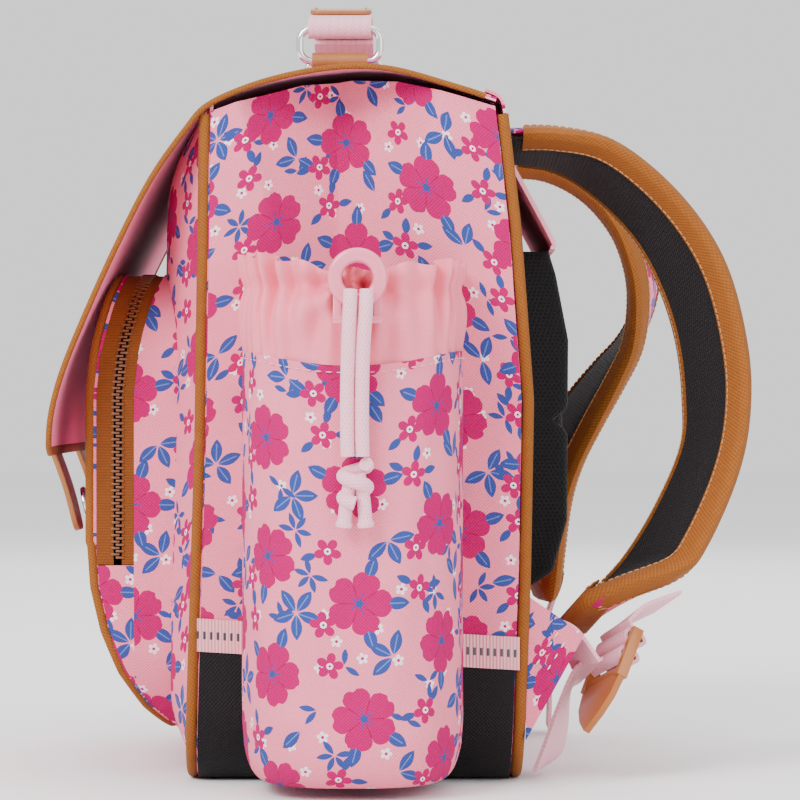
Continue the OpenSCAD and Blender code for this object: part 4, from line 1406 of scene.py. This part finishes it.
def flapSheet(lift, count=121, columns=89):
    line = smoothLine(flap["path"], count)
    normal = pathNormals(line)
    left = np.concatenate([[0], np.cumsum(np.linalg.norm(np.diff(line, axis=0), axis=1))])
    left = left[-1] - left
    rows = []
    for k, (y, z) in enumerate(line):
        over = max(0.0, flap["corner"] - left[k])
        half = flap["half"] - flap["corner"] + math.sqrt(flap["corner"] ** 2 - over ** 2)
        row = []
        for u in np.linspace(-1, 1, columns):
            wave = 0.5 * math.sin(3 * u + 0.03 * left[k]) * math.sin(0.035 * left[k]) - 1.2 * abs(u) ** 7
            move = lift + wave
            row.append((half * u, y + normal[k][0] * move, z + normal[k][1] * move))
        rows.append(row)
    return rows


def makeFlap():
    outer = seamed("flapCloth", flapSheet(0.45), floralCanvas, ("flap_top_panel", "flap_front_panel"),
                   0.8, None, uvShift=(14, 30))
    inner = seamed("flapLining", flapSheet(-0.4), flapSatinPaintedLight, (), 0.7, None)
    middle = flapSheet(0.0)
    # thin binding round the two sides and the lower edge
    route = [r[-1] for r in middle[2:]] + list(middle[-1][-2:0:-1]) + [r[0] for r in middle[:1:-1]]
    inward = [r[-2] for r in middle[2:]] + list(middle[-2][-2:0:-1]) + [r[1] for r in middle[:1:-1]]
    keep = [0]
    for k in range(1, len(route)):
        if np.linalg.norm(np.array(route[k]) - np.array(route[keep[-1]])) > 0.8:
            keep.append(k)
    route = np.array([route[k] for k in keep], dtype=float)
    inward = np.array([inward[k] for k in keep], dtype=float)
    along = np.gradient(route, axis=0)
    along /= np.linalg.norm(along, axis=1)[:, None]
    outward = route - inward
    outward -= (outward * along).sum(axis=1)[:, None] * along
    outward /= np.linalg.norm(outward, axis=1)[:, None]
    up = np.cross(along, outward)
    rows = []
    for p, o, n in zip(route, outward, up):
        rows.append([p + o * (-1.3 + 2.0 * math.copysign(abs(math.cos(a)) ** 0.7, math.cos(a)))
                     + n * (1.15 * math.copysign(abs(math.sin(a)) ** 0.7, math.sin(a)))
                     for a in np.linspace(0, 2 * math.pi, 17)])
    binding = sheetFrom("flapBinding", rows, wrap=True, closed=True)
    dress(binding, None, tanTwill)
    for piece in (outer, inner, binding):
        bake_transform(piece)
    rows = []
    for y, z in smoothLine([(59.4, 252), (58.4, 259), (56.6, 264.6), (51, 267.6)], 20):
        rows.append([(x, y, z) for x in np.linspace(-112, 112, 61)])
    strip = seamed("flapSeamCloth", rows, floralCanvas, (), 1.2, None)
    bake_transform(strip)


def leatherStrip(name, path, x, half, lift, thickness, body, nodes, corner=3.5, count=70):
    # leather cut with round corners, laid along a path seen from the side
    line = smoothLine(path, count)
    normal = pathNormals(line)
    far = np.concatenate([[0], np.cumsum(np.linalg.norm(np.diff(line, axis=0), axis=1))])
    rows = []
    for k, (y, z) in enumerate(line):
        over = max(0.0, corner - min(far[k], far[-1] - far[k]))
        wide = half - corner + math.sqrt(max(0.0, corner ** 2 - over ** 2))
        rows.append([(x + wide * u, y + normal[k][0] * lift, z + normal[k][1] * lift)
                     for u in np.linspace(-1, 1, 21)])
    piece = sheetFrom(name, rows)
    thicken(piece, thickness)
    softEdges(piece, 0.5, 2, 50)
    return dress(piece, body, tanLeather, nodes)


def seamRound(name, path, x, half, lift, body, material, inset=2.6):
    line = smoothLine(path, 40)
    normal = pathNormals(line)
    sides = [[(x + s * (half - inset), y + n[0] * lift, z + n[1] * lift)
              for (y, z), n in zip(line[2:-2], normal[2:-2])] for s in (-1, 1)]
    ends = [[(x - half + inset, line[k][0] + normal[k][0] * lift, line[k][1] + normal[k][1] * lift),
             (x + half - inset, line[k][0] + normal[k][0] * lift, line[k][1] + normal[k][1] * lift)]
            for k in (2, -3)]
    up = [(0, normal[20][0], normal[20][1])] * 4
    return stitchRow(name, sides + ends, up, body, material)


def makeClosures():
    for side, word in ((1, "Right"), (-1, "Left")):
        x = side * flap["closureAt"]
        low = word.lower()
        leatherStrip("closurePatch" + word, flap["patchPath"], x, flap["closureWidth"] + 3, 0.2, 1.6,
                     "flap_front", "closure_patches" if side > 0 else ())
        seamRound("patchStitches" + word, flap["patchPath"], x, flap["closureWidth"] + 3, 1.0, "flap_front",
                  tanThread, 2.0)
        nodes = ["closure_tip_" + low] + (["closure_straps"] if side > 0 else [])
        piece = leatherStrip("closureStrap" + word, flap["closurePath"], x, flap["closureWidth"], 0.0, 2.1,
                             None, nodes, 6.0, 100)
        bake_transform(piece)
        seamRound("closureStitches" + word, flap["closurePath"][:5], x, flap["closureWidth"], 1.1,
                  "flap_front", tanThread)
        roundedCopy("tip_magnet_" + low, 0.4, nickel, "closure_" + low)
    rivets = []
    for side in (1, -1):
        y, z = flap["rivetAt"]
        base = np.array([side * flap["closureAt"], y, z])
        out = np.array([0, -0.92, 0.39])
        rows = []
        for r, h in ((4.0, 0.2), (4.0, 0.7), (3.5, 1.35), (2.4, 1.85), (1.1, 2.1), (0.05, 2.15)):
            rows.append([base + out * h + r * (math.cos(a) * np.array((1.0, 0, 0))
                                               + math.sin(a) * np.cross(out, (1, 0, 0)))
                         for a in np.linspace(0, 2 * math.pi, 33)])
        word = "Right" if side > 0 else "Left"
        rivets.append(sheetFrom("closureRivet" + word, rows, wrap=True, closed=True))
    dress(rivets[0], "flap_front", nickel, "closure_rivets")
    dress(rivets[1], "flap_front", nickel, ())


# painted light: the lining satin's pink is raised well above the collar satin's, standing in for light that
# the shaded lining under the flap does not get
flapSatinPaintedLight = makeSatin("flapSatinPaintedLight", (1.0, 0.32, 0.50, 1), 0.7, 0.12)
makeFlap()
makeClosures()
print("flap ready")


# ---------- rings, tabs and carrying handle ----------

handle = {
    "ringAt": 64.0,
    "ringY": -6.0,
    "ringHalf": 16.0,
    "lowBar": 283.0,
    "highBar": 296.0,
    "wire": 1.5,
    "half": 12.5,
    "path": [(-57, 299.7), (-40, 303.4), (-20, 306), (0, 307), (20, 306), (40, 303.4), (57, 299.7)],
}


def makeHandle():
    centreZ = (handle["lowBar"] + handle["highBar"]) / 2
    halfZ = (handle["highBar"] - handle["lowBar"]) / 2
    for side, word in ((1, "Right"), (-1, "Left")):
        low = word.lower()
        x = side * handle["ringAt"]
        loop = []
        for corner, (sy, sz) in enumerate(((1, 1), (-1, 1), (-1, -1), (1, -1))):
            for a in np.linspace(0, math.pi / 2, 9):
                t = a + corner * math.pi / 2
                loop.append((x, handle["ringY"] + sy * (handle["ringHalf"] - 5) + 5 * math.cos(t),
                             centreZ + sz * (halfZ - 5) + 5 * math.sin(t)))
        loop = np.array(loop + loop[:1])
        rows = []
        along = np.gradient(loop, axis=0)
        along[0] = along[-1] = loop[1] - loop[-2]
        along /= np.linalg.norm(along, axis=1)[:, None]
        for p, t in zip(loop, along):
            across = np.cross(t, (1, 0, 0))
            rows.append([p + handle["wire"] * (math.cos(a) * across + math.sin(a) * np.array((1.0, 0, 0)))
                         for a in np.linspace(0, 2 * math.pi, 17)])
        ring = sheetFrom("ring" + word, rows, wrap=True)
        cleanMesh(ring, closed=True, merge=0.00005)
        dress(ring, "ring_" + low, nickel, "ring_" + low)
        # tab folded round the ring's lower bar and sewn to the flap
        fold = [(x - side * 25, 281.2), (x - side * 12, 281.3), (x - side * 4, 281.0)]
        fold += [(x + side * 2.6 * math.sin(a), handle["lowBar"] - 2.6 * math.cos(a))
                 for a in np.linspace(0.1, math.pi * 0.97, 9)]
        fold += [(x - side * 5, 283.2), (x - side * 12, 282.8), (x - side * 23, 282.6)]
        fold = smoothLine(fold, 60)
        rows = [[(px, handle["ringY"] + w, pz) for w in np.linspace(-11, 11, 13)] for px, pz in fold]
        tab = sheetFrom("ringTab" + word, rows)
        thicken(tab, 1.3)
        dress(tab, "flap_top", tanLeather, "ring_tab_" + low)
    path = []
    for a in np.linspace(-0.25 * math.pi, -1.45 * math.pi, 14):
        path.append((-handle["ringAt"] + 3.2 * math.cos(a), handle["highBar"] + 3.2 * math.sin(a)))
    path = [(-40, 300.8), (-52, 297.6)] + path
    path = path + handle["path"] + [(-x, z) for x, z in reversed(path)]
    line = smoothLine(path, 190)
    rows = [[(x, handle["ringY"] + w, z) for w in np.linspace(-handle["half"], handle["half"], 13)]
            for x, z in line]
    seamed("handleWebbing", rows, pinkWebbing, "handle_webbing", 1.7, "handle")
    line = smoothLine(handle["path"], 90)
    line = [p for p in line if abs(p[0]) < 45]
    rows = []
    for x, z in line:
        over = max(0.0, 5 - (45 - abs(x)))
        wide = handle["half"] - 5 + math.sqrt(max(0, 25 - over ** 2)) - 0.2
        rows.append([(x, handle["ringY"] + wide * u, z + 1.9) for u in np.linspace(-1, 1, 13)])
    grip = sheetFrom("handleLeather", rows)
    thicken(grip, 1.7)
    softEdges(grip, 0.5, 2, 50)
    dress(grip, "handle", tanLeather, "handle_leather")
    lines = [[(x, handle["ringY"] + s * (handle["half"] - 2.4), z + 2.75) for x, z in line[3:-3]]
             for s in (-1, 1)]
    stitchRow("handleStitches", lines, [(0, 0, 1)] * 2, "handle", tanThread)


makeHandle()
print("handle ready")
